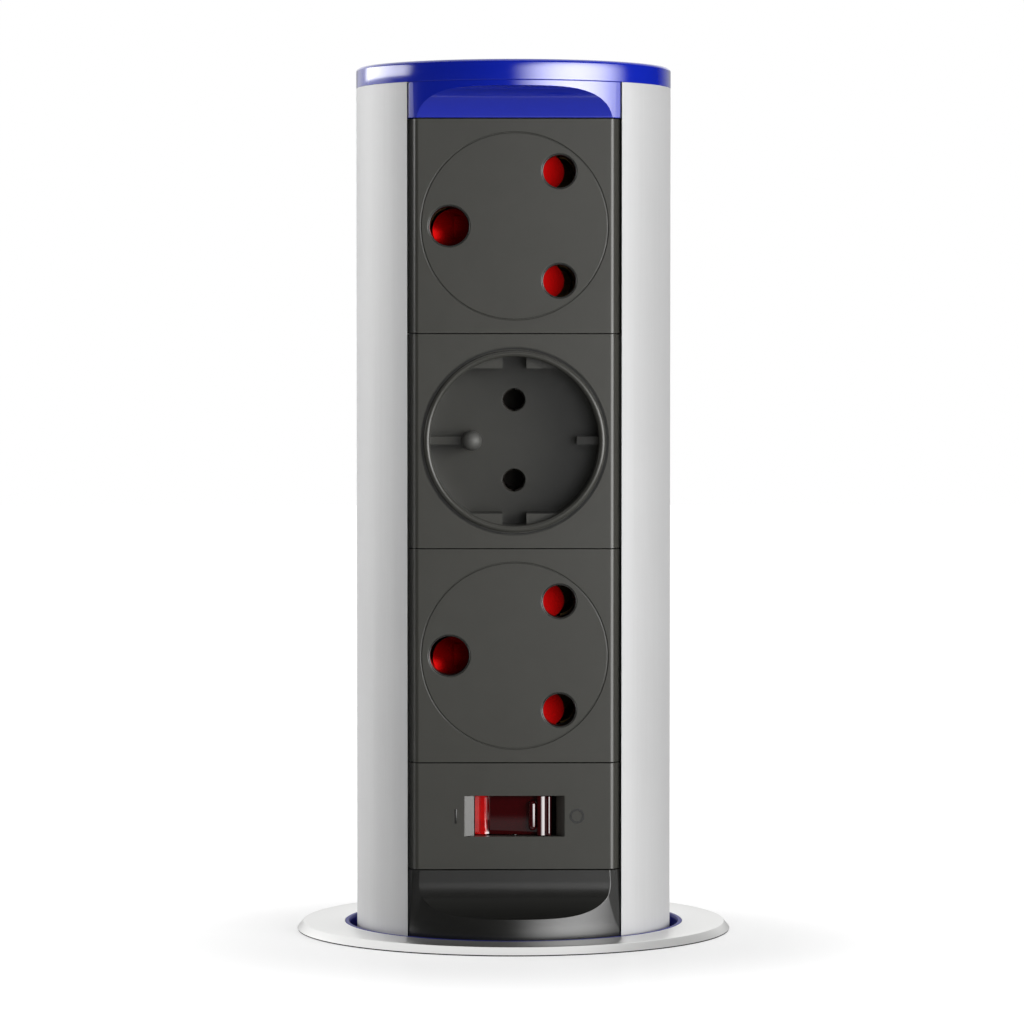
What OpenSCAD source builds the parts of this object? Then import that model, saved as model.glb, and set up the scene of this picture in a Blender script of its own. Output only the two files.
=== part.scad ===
// Pop up desk socket: a socket column that slides up through a desk collar.
// The origin is the centre of the collar's underside, on the desk surface.
// +Z is up, the sockets face -Y, and the column is drawn in its raised position.

/* [Column] */
// Outer diameter of the aluminium column
column_d = 75; // [73:0.5:77]
// Wall thickness of the column
column_wall = 2; // [1.6:0.1:2.4]
// Width of the open slot down the column's front
slot_w = 50; // [48:0.5:51]
// Length of the column below the desk surface when raised
column_below = 58; // [50:1:80]
// Diameter of the screw channels inside the column
channel_d = 5.8; // [5.2:0.1:6.4]
// Diameter of the screws in the column's ends
end_screw_d = 3.5; // [3:0.1:4]
// Thickness of the rails that hold the modules in the slot
rail_t = 1.5; // [1:0.1:2]
// Width of the keyway down the column's back
keyway_w = 5; // [4:0.1:6]
// Depth of the keyway
keyway_depth = 1; // [0.8:0.1:1.2]
// Thickness of the pad behind the keyway
key_pad_t = 1.5; // [1:0.1:2]
// Length of the column's back above the keyway's end
key_land = 16.8; // [14:0.1:30]

/* [Cap and grips] */
// Thickness of the translucent cap
cap_t = 4.8; // [4:0.1:7]
// Rounding of the cap's upper edge
cap_round = 0.8; // [0.4:0.1:1.2]
// Thickness of the plate screwed under the cap
cap_plate_t = 1.8; // [1.2:0.1:2]
// Height of the finger grip between the cap and the top seam
grip_h = 8.45; // [7:0.05:12]
// Radius of the scooped finger grips
scoop_r = 8; // [5:0.5:10]
// Height of the grip's edge above its seam, in the middle
scoop_rise = 7.2; // [6.4:0.1:7.4]
// Height of the lower scoop's edge above the desk
scoop_foot_z = 6.6; // [5:0.1:9]

/* [Module stack] */
// Height of the lowest seam above the desk
stack_z = 17.35; // [15.5:0.05:24]
// Height of one socket module
socket_h = 50; // [48:0.5:56]
// Height of the switch module
switch_h = 25; // [22:0.5:30]
// Depth of the flat faces behind the column's front
face_set = 8; // [7.2:0.1:9]
// Width of the slanting edges down each side of the faces
edge_w = 1.65; // [1.2:0.05:2]
// Angle between a slanting edge and the flat face
edge_angle = 58; // [45:1:62]
// Rounding between the flat face and its slanting edges
edge_round = 1.2; // [0.6:0.1:1.6]
// Thickness of a module's face
face_t = 4; // [3.5:0.1:4.3]
// Depth of the space between a face and its housing
face_space = 5.5; // [5.3:0.1:6]
// Gap left at each seam
seam_gap = 0.2; // [0.1:0.05:0.4]
// Gap between a module and the slot's edge
side_gap = 0.4; // [0.3:0.05:0.6]
// Room for the conductors between the rear covers and the column's back
wiring_room = 22.9; // [21:0.1:25]
// Wall thickness of a housing
housing_wall = 1.5; // [1.2:0.1:2]
// Thickness of a housing's rear cover
cover_t = 1.6; // [1.2:0.1:2]
// Diameter of the screws that hold the rear covers
module_screw_d = 3; // [2.5:0.1:3.2]

/* [Round three pin socket] */
// Spacing of the two live holes
live_spacing = 25.4; // [25:0.1:26]
// Distance of the live holes right of the module's centre
live_x = 10.4; // [10:0.1:11]
// Distance of the earth hole left of the module's centre
earth_x = 15.2; // [14.8:0.1:15.6]
// Diameter of the live holes
live_hole_d = 7.7; // [7.4:0.1:7.9]
// Diameter of the earth hole
earth_hole_d = 9.3; // [9:0.1:9.6]
// Diameter of a live plug pin
live_pin_d = 7.06; // [7:0.01:7.1]
// Diameter of an earth plug pin
earth_pin_d = 8.7; // [8.65:0.01:8.75]
// Width of the chamfer round each hole
hole_chamfer = 0.35; // [0.2:0.05:0.5]
// Diameter of the fine groove round the holes
ring_groove_d = 43.5; // [42:0.1:44.5]
// Thickness of the shutter
shutter_t = 4.4; // [3.6:0.1:4.6]
// Travel of the shutter
shutter_travel = 8.6; // [8.4:0.1:9]

/* [Recessed socket] */
// Inner diameter of the recess
recess_d = 39.4; // [39:0.1:40]
// Depth of the recess
recess_depth = 17.5; // [17:0.1:18.5]
// Wall thickness of the recess
recess_wall = 1.5; // [1.2:0.1:1.6]
// Height of the raised rim round the recess
rim_h = 0.6; // [0.4:0.1:0.8]
// Spacing of the two round pin holes
pin_spacing = 19; // [18.8:0.1:19.2]
// Diameter of the pin holes
pin_hole_d = 5.5; // [5.3:0.1:5.8]
// Distance of the earth pin from the centre
earth_pin_x = 10; // [9.8:0.1:10.4]
// Diameter of the earth pin
earth_stud_d = 4.7; // [4.5:0.1:4.8]
// Length of the earth pin above the floor of the recess
earth_stud_h = 14; // [13:0.1:14.5]
// Width of the guide ribs
rib_w = 1.9; // [1.6:0.1:2.2]
// Height of the guide ribs above the floor
rib_h = 9; // [6:0.5:11]
// Distance of the lugs' flats from the centre
lug_flat = 16.95; // [16.6:0.05:17.4]
// Gap between the two lugs of a pair
lug_gap = 5.6; // [5:0.1:6.4]
// Outer width across a pair of lugs
lug_span = 20.2; // [18:0.1:21]
// Depth of the lugs' front faces below the rim
lug_depth = 3; // [2:0.5:5]

/* [Switch] */
// Width of the switch opening at the face
switch_w = 23.3; // [22.5:0.1:24]
// Width of the switch opening at the rocker
rocker_slot_w = 19.5; // [19.2:0.1:20.5]
// Height of the switch opening
rocker_slot_h = 9.5; // [9:0.1:10]
// Length of the rocker
rocker_l = 17.9; // [17:0.1:18]
// Angle that the rocker turns through
rocker_swing = 16; // [12:0.5:16]
// Diameter of the rocker's pivot pins
rocker_pin_d = 2; // [1.6:0.1:2.4]

/* [Desk collar] */
// Width of the flange outside the liner
flange_w = 11.45; // [9.5:0.05:15]
// Thickness of the flange
flange_t = 2; // [1.6:0.1:3]
// Width of the flange's outer bevel
bevel_w = 1; // [0.6:0.1:2]
// Width of the liner ring round the column
liner_w = 2.85; // [2.6:0.05:3.2]
// Width of the liner's top edge
liner_land = 0.8; // [0.6:0.1:1]
// Step from the liner's outside to the sleeve's thread
sleeve_step = 3.15; // [2.4:0.05:4]
// Length of the sleeve below the desk surface
sleeve_l = 62; // [56:1:70]
// Distance from one round of the sleeve's thread to the next
thread_pitch = 4; // [3:0.5:5]
// Depth of the sleeve's thread
thread_depth = 1.1; // [0.8:0.1:1.4]
// Space between the column and the sleeve, for the friction pads
pad_space = 1.1; // [0.9:0.1:1.3]
// Length of a friction pad
pad_l = 34; // [20:1:40]
// Width of a friction pad
pad_w = 14; // [8:1:20]
// Thickness of the desk that the clamp is set to
desk_t = 25; // [12:1:40]
// Thickness of the clamp washer
washer_t = 2; // [1.5:0.1:3]
// Width of the clamp washer outside the thread
washer_w = 10.5; // [8:0.5:14]
// Height of the clamp nut
nut_h = 12; // [10:0.5:14]
// Width of the clamp nut outside the thread
nut_w = 8.5; // [7:0.5:11]
// Number of grip hollows round the nut
nut_grips = 12; // [8:1:16]

/* [Foot and cable gland] */
// Width of the stop ring round the column's foot
foot_lip = 4.5; // [3.5:0.1:5]
// Thickness of the foot
foot_t = 8; // [7:0.5:10]
// Thread diameter of the gland
gland_d = 20; // [18:0.5:22]
// Width across the gland's corners
gland_hex_d = 27; // [26:0.5:29]
// Diameter of the cord that the gland's seal is bored for
cord_d = 9; // [7:0.5:10]
// Distance of the gland in front of the column's axis
gland_offset = 8; // [7:0.5:9]

/* [Conductors] */
// Width of a bus bar
bar_w = 6; // [5:0.5:6.5]
// Thickness of a bus bar
bar_t = 1; // [0.8:0.1:1.2]
// Thickness of a contact's sheet metal
contact_t = 0.8; // [0.6:0.1:0.9]
// Position of the line bar right of the axis
line_bar_x = 16; // [15.5:0.1:17]
// Position of the neutral bar right of the axis
neutral_bar_x = 5; // [4.5:0.1:5.5]
// Position of the earth bar left of the axis
earth_bar_x = 12.6; // [12:0.1:13.2]

/* [Hidden] */
$fn = 96;

// Clearance between pieces that only lie beside each other
clear = 0.3;
// Radial clearance of a running fit
running = 0.05;
// Overlap that keeps cuts clean
cut = 1;

column_r = column_d / 2;
inner_r = column_r - column_wall;
face_r = column_r - 0.2;
face_offset = column_r - face_set;
wing_r = inner_r - 0.2;

// Seams and module centres, from the bottom up
low_z = stack_z + switch_h;
mid_z = low_z + socket_h;
top_z = mid_z + socket_h;
stack_top = top_z + socket_h;
column_top = stack_top + grip_h;
switch_c = stack_z + switch_h / 2;
low_c = low_z + socket_h / 2;
mid_c = mid_z + socket_h / 2;
top_c = top_z + socket_h / 2;

// Depths of a module, front to back
face_w = slot_w - 2 * side_gap;
lip_y = -sqrt(inner_r * inner_r - slot_w * slot_w / 4);
wing_y = lip_y + clear;
cavity_y = -face_offset + face_t;
housing_y = cavity_y + face_space;
cover_y = inner_r - wiring_room - cover_t;
housing_w = slot_w - 1.2;
wing_w = slot_w + 4;
cover_back = cover_y + cover_t;

// Bus bars behind the covers
near_bar_y = cover_back + 1.1;
far_bar_y = near_bar_y + 3.2;

// Screw channels in the column
channel_r = inner_r - channel_d / 2 + 0.6;
channel_angles = [40, 140, 205, 335];
channel_bore_r = end_screw_d / 2 + running;

// Screws
end_head_d = end_screw_d + 1.6;
module_head_d = module_screw_d + 2;
cap_screw_l = 12;
foot_screw_l = 18;
module_screw_l = 11;

// Desk collar
collar_bore_r = column_r + 0.4;
liner_r = column_r + liner_w;
flange_r = liner_r + flange_w;
sleeve_r = liner_r + sleeve_step;
bore_r = column_r + pad_space;
liner_below = 6;
key_tip_r = column_r - keyway_depth + 0.4;
keyway_top = column_top - key_land;
travel = keyway_top + liner_below;
echo(column_travel_mm = travel);
foot_top = -sleeve_l - clear;
foot_bottom = foot_top - foot_t / 2;
scoop_bottom = -column_below;

function centre_of(module_name) =
    module_name == "top" ? top_c : module_name == "mid" ? mid_c : low_c;

// Solids with their axis along Y, from y0 to y1, centred on x and z
module rod_y(r, y0, y1, x = 0, z = 0) {
    translate([x, y0, z])
        rotate([-90, 0, 0])
            cylinder(r = r, h = y1 - y0);
}

module cone_y(r0, r1, y0, y1, x = 0, z = 0) {
    translate([x, y0, z])
        rotate([-90, 0, 0])
            cylinder(r1 = r0, r2 = r1, h = y1 - y0);
}

// Box given by its two opposite corners
module box(low, high) {
    translate(low)
        cube(high - low);
}

// Right half of a face's front edge, from the middle to the slot: flat, rounding, slant
edge_x = face_w / 2 - edge_w;
edge_steps = 5;
edge_points = [
    let (back = edge_round * tan(edge_angle / 2))
        for (i = [0 : edge_steps])
            let (a = edge_angle * i / edge_steps)
                [edge_x - back + edge_round * sin(a), edge_round * (1 - cos(a)) - face_offset]
];
slant_end = [face_w / 2, edge_w * tan(edge_angle) - face_offset];

// Outline, seen from above, of everything that sits in the slot
wing_points = [
    [sqrt(wing_r * wing_r - wing_y * wing_y), wing_y],
    [wing_w / 2, -sqrt(wing_r * wing_r - wing_w * wing_w / 4)],
    [wing_w / 2, housing_y]
];
half_outline = concat(edge_points, [slant_end, [face_w / 2, wing_y]], wing_points);

module slot_outline() {
    last = len(half_outline) - 1;
    polygon(concat(
        half_outline,
        [for (i = [last : -1 : 0]) [-half_outline[i][0], half_outline[i][1]]]
    ));
}

// The same with the full cylinder in front, for the ends that have scoops
module round_outline() {
    intersection() {
        circle(r = face_r);
        translate([-face_w / 2, -column_r])
            square([face_w, column_r + housing_y]);
    }
    intersection() {
        circle(r = wing_r);
        translate([-wing_w / 2, wing_y])
            square([wing_w, housing_y - wing_y]);
    }
}

// Removes the flat front and its scoop; z is the scoop's edge and up is +1 or -1
module scoop(z, up) {
    reach = column_r;
    translate([0, 0, z])
        mirror([0, 0, up > 0 ? 0 : 1])
            rotate([90, 0, 90])
                translate([0, 0, -slot_w / 2])
                    linear_extrude(slot_w)
                        difference() {
                            translate([-face_offset - reach, 0])
                                square([reach, reach]);
                            difference() {
                                translate([-face_offset - scoop_r, -cut])
                                    square([scoop_r + cut, scoop_r + cut]);
                                translate([-face_offset - scoop_r, scoop_r])
                                    circle(r = scoop_r);
                            }
                        }
}

// Faces of the modules

module face_block(z0, h) {
    translate([0, 0, z0 + seam_gap / 2])
        linear_extrude(h - seam_gap)
            slot_outline();
}

// Space behind a round three pin face, in which the shutter slides
blade_left = live_x - 4.7;
blade_right = live_x + 1.2;
shutter_room_w = 2 * (blade_right + shutter_travel + 2.3);
arm_z = live_spacing / 2 + live_hole_d / 2 + 0.7;
arm_w = 2.1;
shutter_room_h = 2 * (arm_z + arm_w + clear);

module round_pin_face(zc) {
    difference() {
        face_block(zc - socket_h / 2, socket_h);
        box([-shutter_room_w / 2, cavity_y, zc - shutter_room_h / 2],
            [shutter_room_w / 2, housing_y + cut, zc + shutter_room_h / 2]);
        for (side = [-1, 1])
            pin_entry(live_x, zc + side * live_spacing / 2, live_hole_d / 2);
        pin_entry(-earth_x, zc, earth_hole_d / 2);
        difference() {
            rod_y(ring_groove_d / 2 + 0.15, -face_offset - cut, -face_offset + 0.3, 0, zc);
            rod_y(ring_groove_d / 2 - 0.15, -face_offset - 2 * cut, -face_offset + cut, 0, zc);
        }
    }
}

module pin_entry(x, z, r) {
    rod_y(r, -face_offset - cut, cavity_y + cut, x, z);
    cone_y(r + hole_chamfer, r, -face_offset, -face_offset + hole_chamfer, x, z);
}

// Shutter: a ramp behind the earth hole and a blade behind each live hole
shutter_y = housing_y - clear - shutter_t;
web_x = -8.6;
web_w = 3.4;
ramp_x = -earth_x + 1.1;
ramp_r = earth_hole_d / 2 + 0.35;
ramp_drop = 0.8;

module round_pin_shutter(zc) {
    translate([0, 0, zc]) {
        intersection() {
            rod_y(ramp_r, shutter_y - cut, shutter_y + shutter_t, ramp_x, -ramp_drop);
            ramp_wedge();
        }
        box([ramp_x, shutter_y, -2.5], [web_x + cut, shutter_y + shutter_t, 2.5]);
        box([web_x, shutter_y, -arm_z - arm_w],
            [web_x + web_w, shutter_y + shutter_t, arm_z + arm_w]);
        for (side = [-1, 1])
            mirror([0, 0, side > 0 ? 0 : 1])
                shutter_arm();
    }
}

module ramp_wedge() {
    translate([0, 0, -2 * ramp_r])
        linear_extrude(4 * ramp_r)
            polygon([
                [ramp_x - ramp_r - cut, shutter_y + 1.4],
                [ramp_x + ramp_r, shutter_y - 0.5],
                [ramp_x + ramp_r, shutter_y + shutter_t],
                [ramp_x - ramp_r - cut, shutter_y + shutter_t]
            ]);
}

module shutter_arm() {
    box([web_x, shutter_y, arm_z],
        [blade_right, shutter_y + shutter_t, arm_z + arm_w]);
    box([blade_left, shutter_y, live_spacing / 2],
        [blade_left + 4, shutter_y + shutter_t, arm_z + arm_w]);
    intersection() {
        rod_y(4.2, shutter_y, shutter_y + shutter_t, blade_right - 4.2, live_spacing / 2);
        box([blade_left, shutter_y - cut, 0], [live_x + 9, housing_y, socket_h / 2]);
    }
}

// Coil spring along X that pushes the shutter shut
spring_r = 1.7;
wire_r = 0.3;
curls = 12;
spring_x0 = web_x + web_w + 0.1;
spring_l = shutter_room_w / 2 - 0.1 - spring_x0;
spring_y = shutter_y + shutter_t / 2;
rings_per_curl = 8;
wire_sides = 6;

// Centre line: one straight wire diameter at each end, then the curls
spring_rings = curls * rings_per_curl;
spring_path = [
    for (i = [0 : spring_rings])
        let (a = 360 * i / rings_per_curl)
            [spring_x0 + wire_r + (spring_l - 2 * wire_r) * i / spring_rings,
             spring_y + spring_r * cos(a),
             spring_r * sin(a)]
];
spring_gap = (spring_l - 2 * wire_r) / curls - 2 * wire_r;
echo(shutter_spring_least_gap_mm = spring_gap);

function unit(v) = v / norm(v);

function spring_ring(i) =
    let (
        a = 360 * i / rings_per_curl,
        outward = [0, cos(a), sin(a)],
        along = unit([
            (spring_l - 2 * wire_r) / spring_rings,
            -spring_r * sin(a) * 2 * PI / rings_per_curl,
            spring_r * cos(a) * 2 * PI / rings_per_curl
        ]),
        side = cross(along, outward)
    )
    [
        for (k = [0 : wire_sides - 1])
            let (b = 360 * k / wire_sides)
                spring_path[i] + wire_r * (cos(b) * outward + sin(b) * side)
    ];

module coil_spring(zc) {
    points = [for (i = [0 : spring_rings]) each spring_ring(i)];
    last = spring_rings * wire_sides;
    walls = [
        for (i = [0 : spring_rings - 1], k = [0 : wire_sides - 1])
            let (
                a = i * wire_sides + k,
                b = i * wire_sides + (k + 1) % wire_sides
            )
            each [[a, b, b + wire_sides], [a, b + wire_sides, a + wire_sides]]
    ];
    ends = [
        for (k = [1 : wire_sides - 2])
            each [[0, k + 1, k], [last, last + k, last + k + 1]]
    ];
    translate([0, 0, zc])
        polyhedron(points, concat(walls, ends));
}

// Housings, covers and contacts

boss_x = housing_w / 2 - housing_wall - 2.7;
boss_z = socket_h / 2 - housing_wall - 2.6;
boss_r = 2.6;

module housing_box(zc) {
    half = socket_h / 2 - seam_gap / 2;
    difference() {
        box([-housing_w / 2, housing_y, zc - half], [housing_w / 2, cover_y, zc + half]);
        box([-housing_w / 2 + housing_wall, housing_y + housing_wall, zc - half + housing_wall],
            [housing_w / 2 - housing_wall, cover_y + cut, zc + half - housing_wall]);
    }
    for (side = [-1, 1])
        rod_y(boss_r, housing_y, cover_y, side * boss_x, zc + side * boss_z);
}

boss_bottom = cover_back - module_screw_l - 1.6;

module boss_bores(zc, y0) {
    for (side = [-1, 1])
        rod_y(module_screw_d / 2 + running, y0, cover_back + cut, side * boss_x, zc + side * boss_z);
}

contact_back = cover_y - 2;
sleeve_wall = 1.1;

module round_pin_housing(zc) {
    difference() {
        union() {
            housing_box(zc);
            for (side = [-1, 1])
                contact_well(live_x, zc + side * live_spacing / 2, live_pin_d / 2);
            contact_well(-earth_x, zc, earth_pin_d / 2);
        }
        for (side = [-1, 1])
            contact_bore(live_x, zc + side * live_spacing / 2, live_pin_d / 2);
        contact_bore(-earth_x, zc, earth_pin_d / 2);
        boss_bores(zc, boss_bottom);
    }
}

module contact_well(x, z, pin_r) {
    rod_y(pin_r + contact_t + 0.1 + sleeve_wall, housing_y, contact_back - 4, x, z);
}

module contact_bore(x, z, pin_r) {
    rod_y(pin_r + 0.4, housing_y - cut, housing_y + housing_wall + cut, x, z);
    rod_y(pin_r + contact_t + 0.1, housing_y + housing_wall, cover_y + cut, x, z);
}

// Spring sleeve for one plug pin, with a tail through the cover to its bus bar
module contact(x, z, pin_r, y0, bar_x, bar_y) {
    difference() {
        rod_y(pin_r + contact_t, y0, contact_back, x, z);
        rod_y(pin_r, y0 - cut, contact_back - contact_t, x, z);
        box([x - 0.4, y0 - cut, z - 2 * pin_r], [x + 0.4, y0 + 12, z + 2 * pin_r]);
        box([x - 2 * pin_r, y0 - cut, z - 0.4], [x + 2 * pin_r, y0 + 12, z + 0.4]);
    }
    contact_tail(x, z, contact_back - contact_t, bar_x, bar_y);
}

module contact_tail(x, z, y0, bar_x, bar_y) {
    box([x - 2, y0, z - contact_t / 2], [x + 2, bar_y, z + contact_t / 2]);
    left = min(x - 2, bar_x - bar_w / 2);
    right = max(x + 2, bar_x + bar_w / 2);
    box([left, bar_y - contact_t, z - 2], [right, bar_y, z + 2]);
}

module tail_slot(x, z) {
    box([x - 2.3, cover_y - cut, z - contact_t / 2 - clear],
        [x + 2.3, cover_back + cut, z + contact_t / 2 + clear]);
}

module rear_cover(zc) {
    half = socket_h / 2 - seam_gap / 2;
    box([-housing_w / 2, cover_y, zc - half], [housing_w / 2, cover_back, zc + half]);
}

module round_pin_cover(zc) {
    difference() {
        rear_cover(zc);
        for (side = [-1, 1])
            tail_slot(live_x, zc + side * live_spacing / 2);
        tail_slot(-earth_x, zc);
        boss_bores(zc, cover_y - cut);
    }
}

contact_front = housing_y + housing_wall + 0.1;

module line_contact(zc) {
    contact(live_x, zc + live_spacing / 2, live_pin_d / 2, contact_front, line_bar_x, far_bar_y);
}

module neutral_contact(zc) {
    contact(live_x, zc - live_spacing / 2, live_pin_d / 2, contact_front, neutral_bar_x, near_bar_y);
}

module earth_contact(zc) {
    contact(-earth_x, zc, earth_pin_d / 2, contact_front, -earth_bar_x, near_bar_y);
}

// Desk collar

module flange_ring() {
    top = flange_t;
    edge = flange_r;
    color([0.80, 0.80, 0.79])
        rotate_extrude()
            difference() {
                polygon([
                    [liner_r + 0.05, 0],
                    [edge - 0.1, 0],
                    [edge, 0.15],
                    [edge - bevel_w * 0.75, top - 0.5],
                    [edge - bevel_w * 1.2, top - 0.15],
                    [edge - bevel_w * 1.8, top],
                    [liner_r + 0.05, top]
                ]);
                translate([0, -cut])
                    square([sleeve_rim_r, sleeve_rim_t + cut]);
                translate([gasket_r0, -cut])
                    square([gasket_r1 - gasket_r0, gasket_t + cut]);
            }
}

sleeve_rim_r = sleeve_r + 2;
sleeve_rim_t = 1;
gasket_r0 = sleeve_rim_r + 0.8;
gasket_r1 = flange_r - 1.8;
gasket_t = 0.6;

module flange_gasket() {
    color([0.08, 0.08, 0.08])
        rotate_extrude()
            translate([gasket_r0 + 0.05, 0])
                square([gasket_r1 - gasket_r0 - 0.1, gasket_t]);
}

module liner_ring() {
    color([0.10, 0.12, 0.45])
        rotate_extrude()
            polygon([
                [liner_r, -liner_below],
                [liner_r, flange_t],
                [liner_r - liner_land, flange_t],
                [liner_r - liner_land - 0.3, flange_t - 0.5],
                [liner_r - liner_land - 0.3, -2],
                [collar_bore_r, -3],
                [collar_bore_r, -liner_below]
            ]);
}

// Thread, drawn as closed rings from the sleeve's lower end up to the liner
root_r = sleeve_r - thread_depth;
thread_rounds = floor((sleeve_l - liner_below) / thread_pitch);
thread_points = [
    for (k = [0 : thread_rounds - 1])
        let (z = k * thread_pitch - sleeve_l)
            each [
                [root_r, z + 0.22 * thread_pitch],
                [sleeve_r, z + 0.40 * thread_pitch],
                [sleeve_r, z + 0.82 * thread_pitch],
                [root_r, z + thread_pitch]
            ]
];

module threaded_sleeve() {
    thread_top = thread_rounds * thread_pitch - sleeve_l;
    color([0.12, 0.12, 0.13]) {
        rotate_extrude()
            difference() {
                union() {
                    polygon(concat(
                        [[bore_r, -sleeve_l], [root_r, -sleeve_l]],
                        thread_points,
                        [[sleeve_r, thread_top + 0.18 * thread_pitch], [sleeve_r, 0], [bore_r, 0]]
                    ));
                    translate([liner_r + 0.05, -cut])
                        square([sleeve_rim_r - 0.05 - liner_r - 0.05, sleeve_rim_t + cut]);
                }
                translate([0, -liner_below])
                    square([liner_r + 0.05, liner_below + 2 * cut]);
                translate([sleeve_r, -2 * cut])
                    square([sleeve_r, 2 * cut]);
            }
        guide_key();
    }
}

// Key that runs in the column's keyway and keeps the column from turning
module guide_key() {
    half = keyway_w / 2 - 0.4;
    box([-half, key_tip_r, -sleeve_l], [half, bore_r + 0.5, -liner_below - clear]);
}

pad_t = bore_r - column_r - clear;

pad_bottom = 8 - sleeve_l;

module friction_pads() {
    color([0.25, 0.25, 0.27])
        for (a = [30, 150, 270])
            intersection() {
                translate([0, 0, pad_bottom])
                    tube(bore_r, bore_r - pad_t, pad_l);
                rotate([0, 0, a])
                    translate([0, -pad_w / 2, pad_bottom])
                        cube([column_d, pad_w, pad_l]);
            }
}

washer_top = -desk_t;
nut_top = washer_top - washer_t;

module clamp_washer() {
    color([0.62, 0.63, 0.65])
        translate([0, 0, nut_top])
            difference() {
                cylinder(r = sleeve_r + washer_w, h = washer_t);
                translate([0, 0, -cut])
                    cylinder(r = sleeve_r + 0.6, h = washer_t + 2 * cut);
            }
}

module clamp_nut() {
    grip_r = 3.2;
    outer_r = sleeve_r + nut_w;
    color([0.14, 0.14, 0.15])
        translate([0, 0, nut_top - nut_h])
            difference() {
                union() {
                    cylinder(r = outer_r, h = nut_h - 2);
                    cylinder(r = outer_r - 2, h = nut_h);
                }
                translate([0, 0, -cut])
                    cylinder(r = sleeve_r + running + 0.03, h = nut_h + 2 * cut);
                for (i = [0 : nut_grips - 1])
                    rotate([0, 0, 360 * i / nut_grips])
                        translate([outer_r + grip_r * 0.35, 0, -cut])
                            cylinder(r = grip_r, h = nut_h + 2 * cut);
            }
}

// Column

module tube(r, bore, h) {
    difference() {
        cylinder(r = r, h = h);
        translate([0, 0, -cut])
            cylinder(r = bore, h = h + 2 * cut);
    }
}

module at_channels() {
    for (a = channel_angles)
        rotate([0, 0, a])
            translate([channel_r, 0, 0])
                children();
}

module column_profile() {
    length = column_top - scoop_bottom;
    color([0.78, 0.78, 0.78])
        translate([0, 0, scoop_bottom])
            difference() {
                union() {
                    difference() {
                        union() {
                            tube(column_r, inner_r, length);
                            key_pad(length);
                        }
                        translate([-slot_w / 2, -column_d, -cut])
                            cube([slot_w, column_d, length + 2 * cut]);
                    }
                    rails(length);
                    at_channels()
                        cylinder(d = channel_d, h = length);
                }
                at_channels()
                    channel_cut(length);
                translate([-keyway_w / 2, column_r - keyway_depth, -cut])
                    cube([keyway_w, keyway_depth + cut, keyway_top - scoop_bottom + cut]);
            }
}

module key_pad(length) {
    intersection() {
        cylinder(r = inner_r + 0.1, h = length);
        translate([-keyway_w, inner_r - key_pad_t, 0])
            cube([2 * keyway_w, key_pad_t + 1, length]);
    }
}

// Rails behind the slot's edges, which hold the modules' wings
module rails(length) {
    for (side = [0, 1])
        mirror([side, 0, 0])
            intersection() {
                cylinder(r = inner_r + 0.1, h = length);
                translate([slot_w / 2, housing_y + clear, 0])
                    cube([column_r, rail_t, length]);
            }
}

// Screw channel: a bore that is open towards the column's axis
module channel_cut(length) {
    translate([0, 0, -cut])
        cylinder(r = channel_bore_r, h = length + 2 * cut);
    translate([-channel_d, -0.7, -cut])
        cube([channel_d, 1.4, length + 2 * cut]);
}

// Cap and grip

module cap_plate() {
    color([0.70, 0.71, 0.72])
        translate([0, 0, column_top])
            difference() {
                cylinder(r = inner_r - 0.8, h = cap_plate_t);
                at_channels()
                    translate([0, 0, -cut])
                        cylinder(r = channel_bore_r + 0.15, h = cap_plate_t + 2 * cut);
            }
}

// Screw pointing down, its head's underside at z = 0
module pan_screw(d, head_d, head_h, length) {
    cylinder(d = head_d, h = head_h);
    translate([0, 0, -length])
        cylinder(d = d, h = length);
}

module driven_pan_screw(d, head_d, head_h, length) {
    difference() {
        pan_screw(d, head_d, head_h, length);
        for (a = [0, 90])
            rotate([0, 0, a])
                translate([-head_d * 0.3, -0.4, head_h - 0.8])
                    cube([head_d * 0.6, 0.8, 0.8 + cut]);
    }
}

cap_head_h = 1.6;

module cap_screws() {
    color([0.75, 0.75, 0.76])
        translate([0, 0, column_top + cap_plate_t])
            at_channels()
                driven_pan_screw(end_screw_d, end_head_d, cap_head_h, cap_screw_l);
}

module cap_disc() {
    hollow = cap_plate_t + cap_head_h + 0.2;
    color([0.10, 0.16, 0.75])
        translate([0, 0, column_top])
            rotate_extrude()
                difference() {
                    square([column_r, cap_t]);
                    translate([0, -cut])
                        square([channel_r + end_head_d / 2 + clear, hollow + cut]);
                    translate([column_r - cap_round, cap_t - cap_round])
                        difference() {
                            square([cap_round + cut, cap_round + cut]);
                            circle(r = cap_round);
                        }
                }
}

module grip_insert() {
    color([0.10, 0.16, 0.75])
        difference() {
            translate([0, 0, stack_top + seam_gap / 2])
                linear_extrude(grip_h - seam_gap / 2)
                    round_outline();
            scoop(stack_top + scoop_rise, -1);
            box([-face_w / 2 + 2, wing_y, stack_top - cut],
                [face_w / 2 - 2, housing_y + cut, column_top - 2]);
        }
}

// Upper and lower round three pin sockets

module top_face() {
    color([0.25, 0.25, 0.24])
        round_pin_face(top_c);
}

module top_shutter() {
    color([0.75, 0.02, 0.02])
        round_pin_shutter(top_c);
}

module top_shutter_spring() {
    color([0.7, 0.7, 0.7])
        coil_spring(top_c);
}

module top_housing() {
    color([0.15, 0.15, 0.15])
        round_pin_housing(top_c);
}

module top_cover() {
    color([0.18, 0.18, 0.18])
        round_pin_cover(top_c);
}

module top_line_contact() {
    color([0.80, 0.62, 0.30])
        line_contact(top_c);
}

module top_neutral_contact() {
    color([0.80, 0.62, 0.30])
        neutral_contact(top_c);
}

module top_earth_contact() {
    color([0.80, 0.62, 0.30])
        earth_contact(top_c);
}

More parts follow.
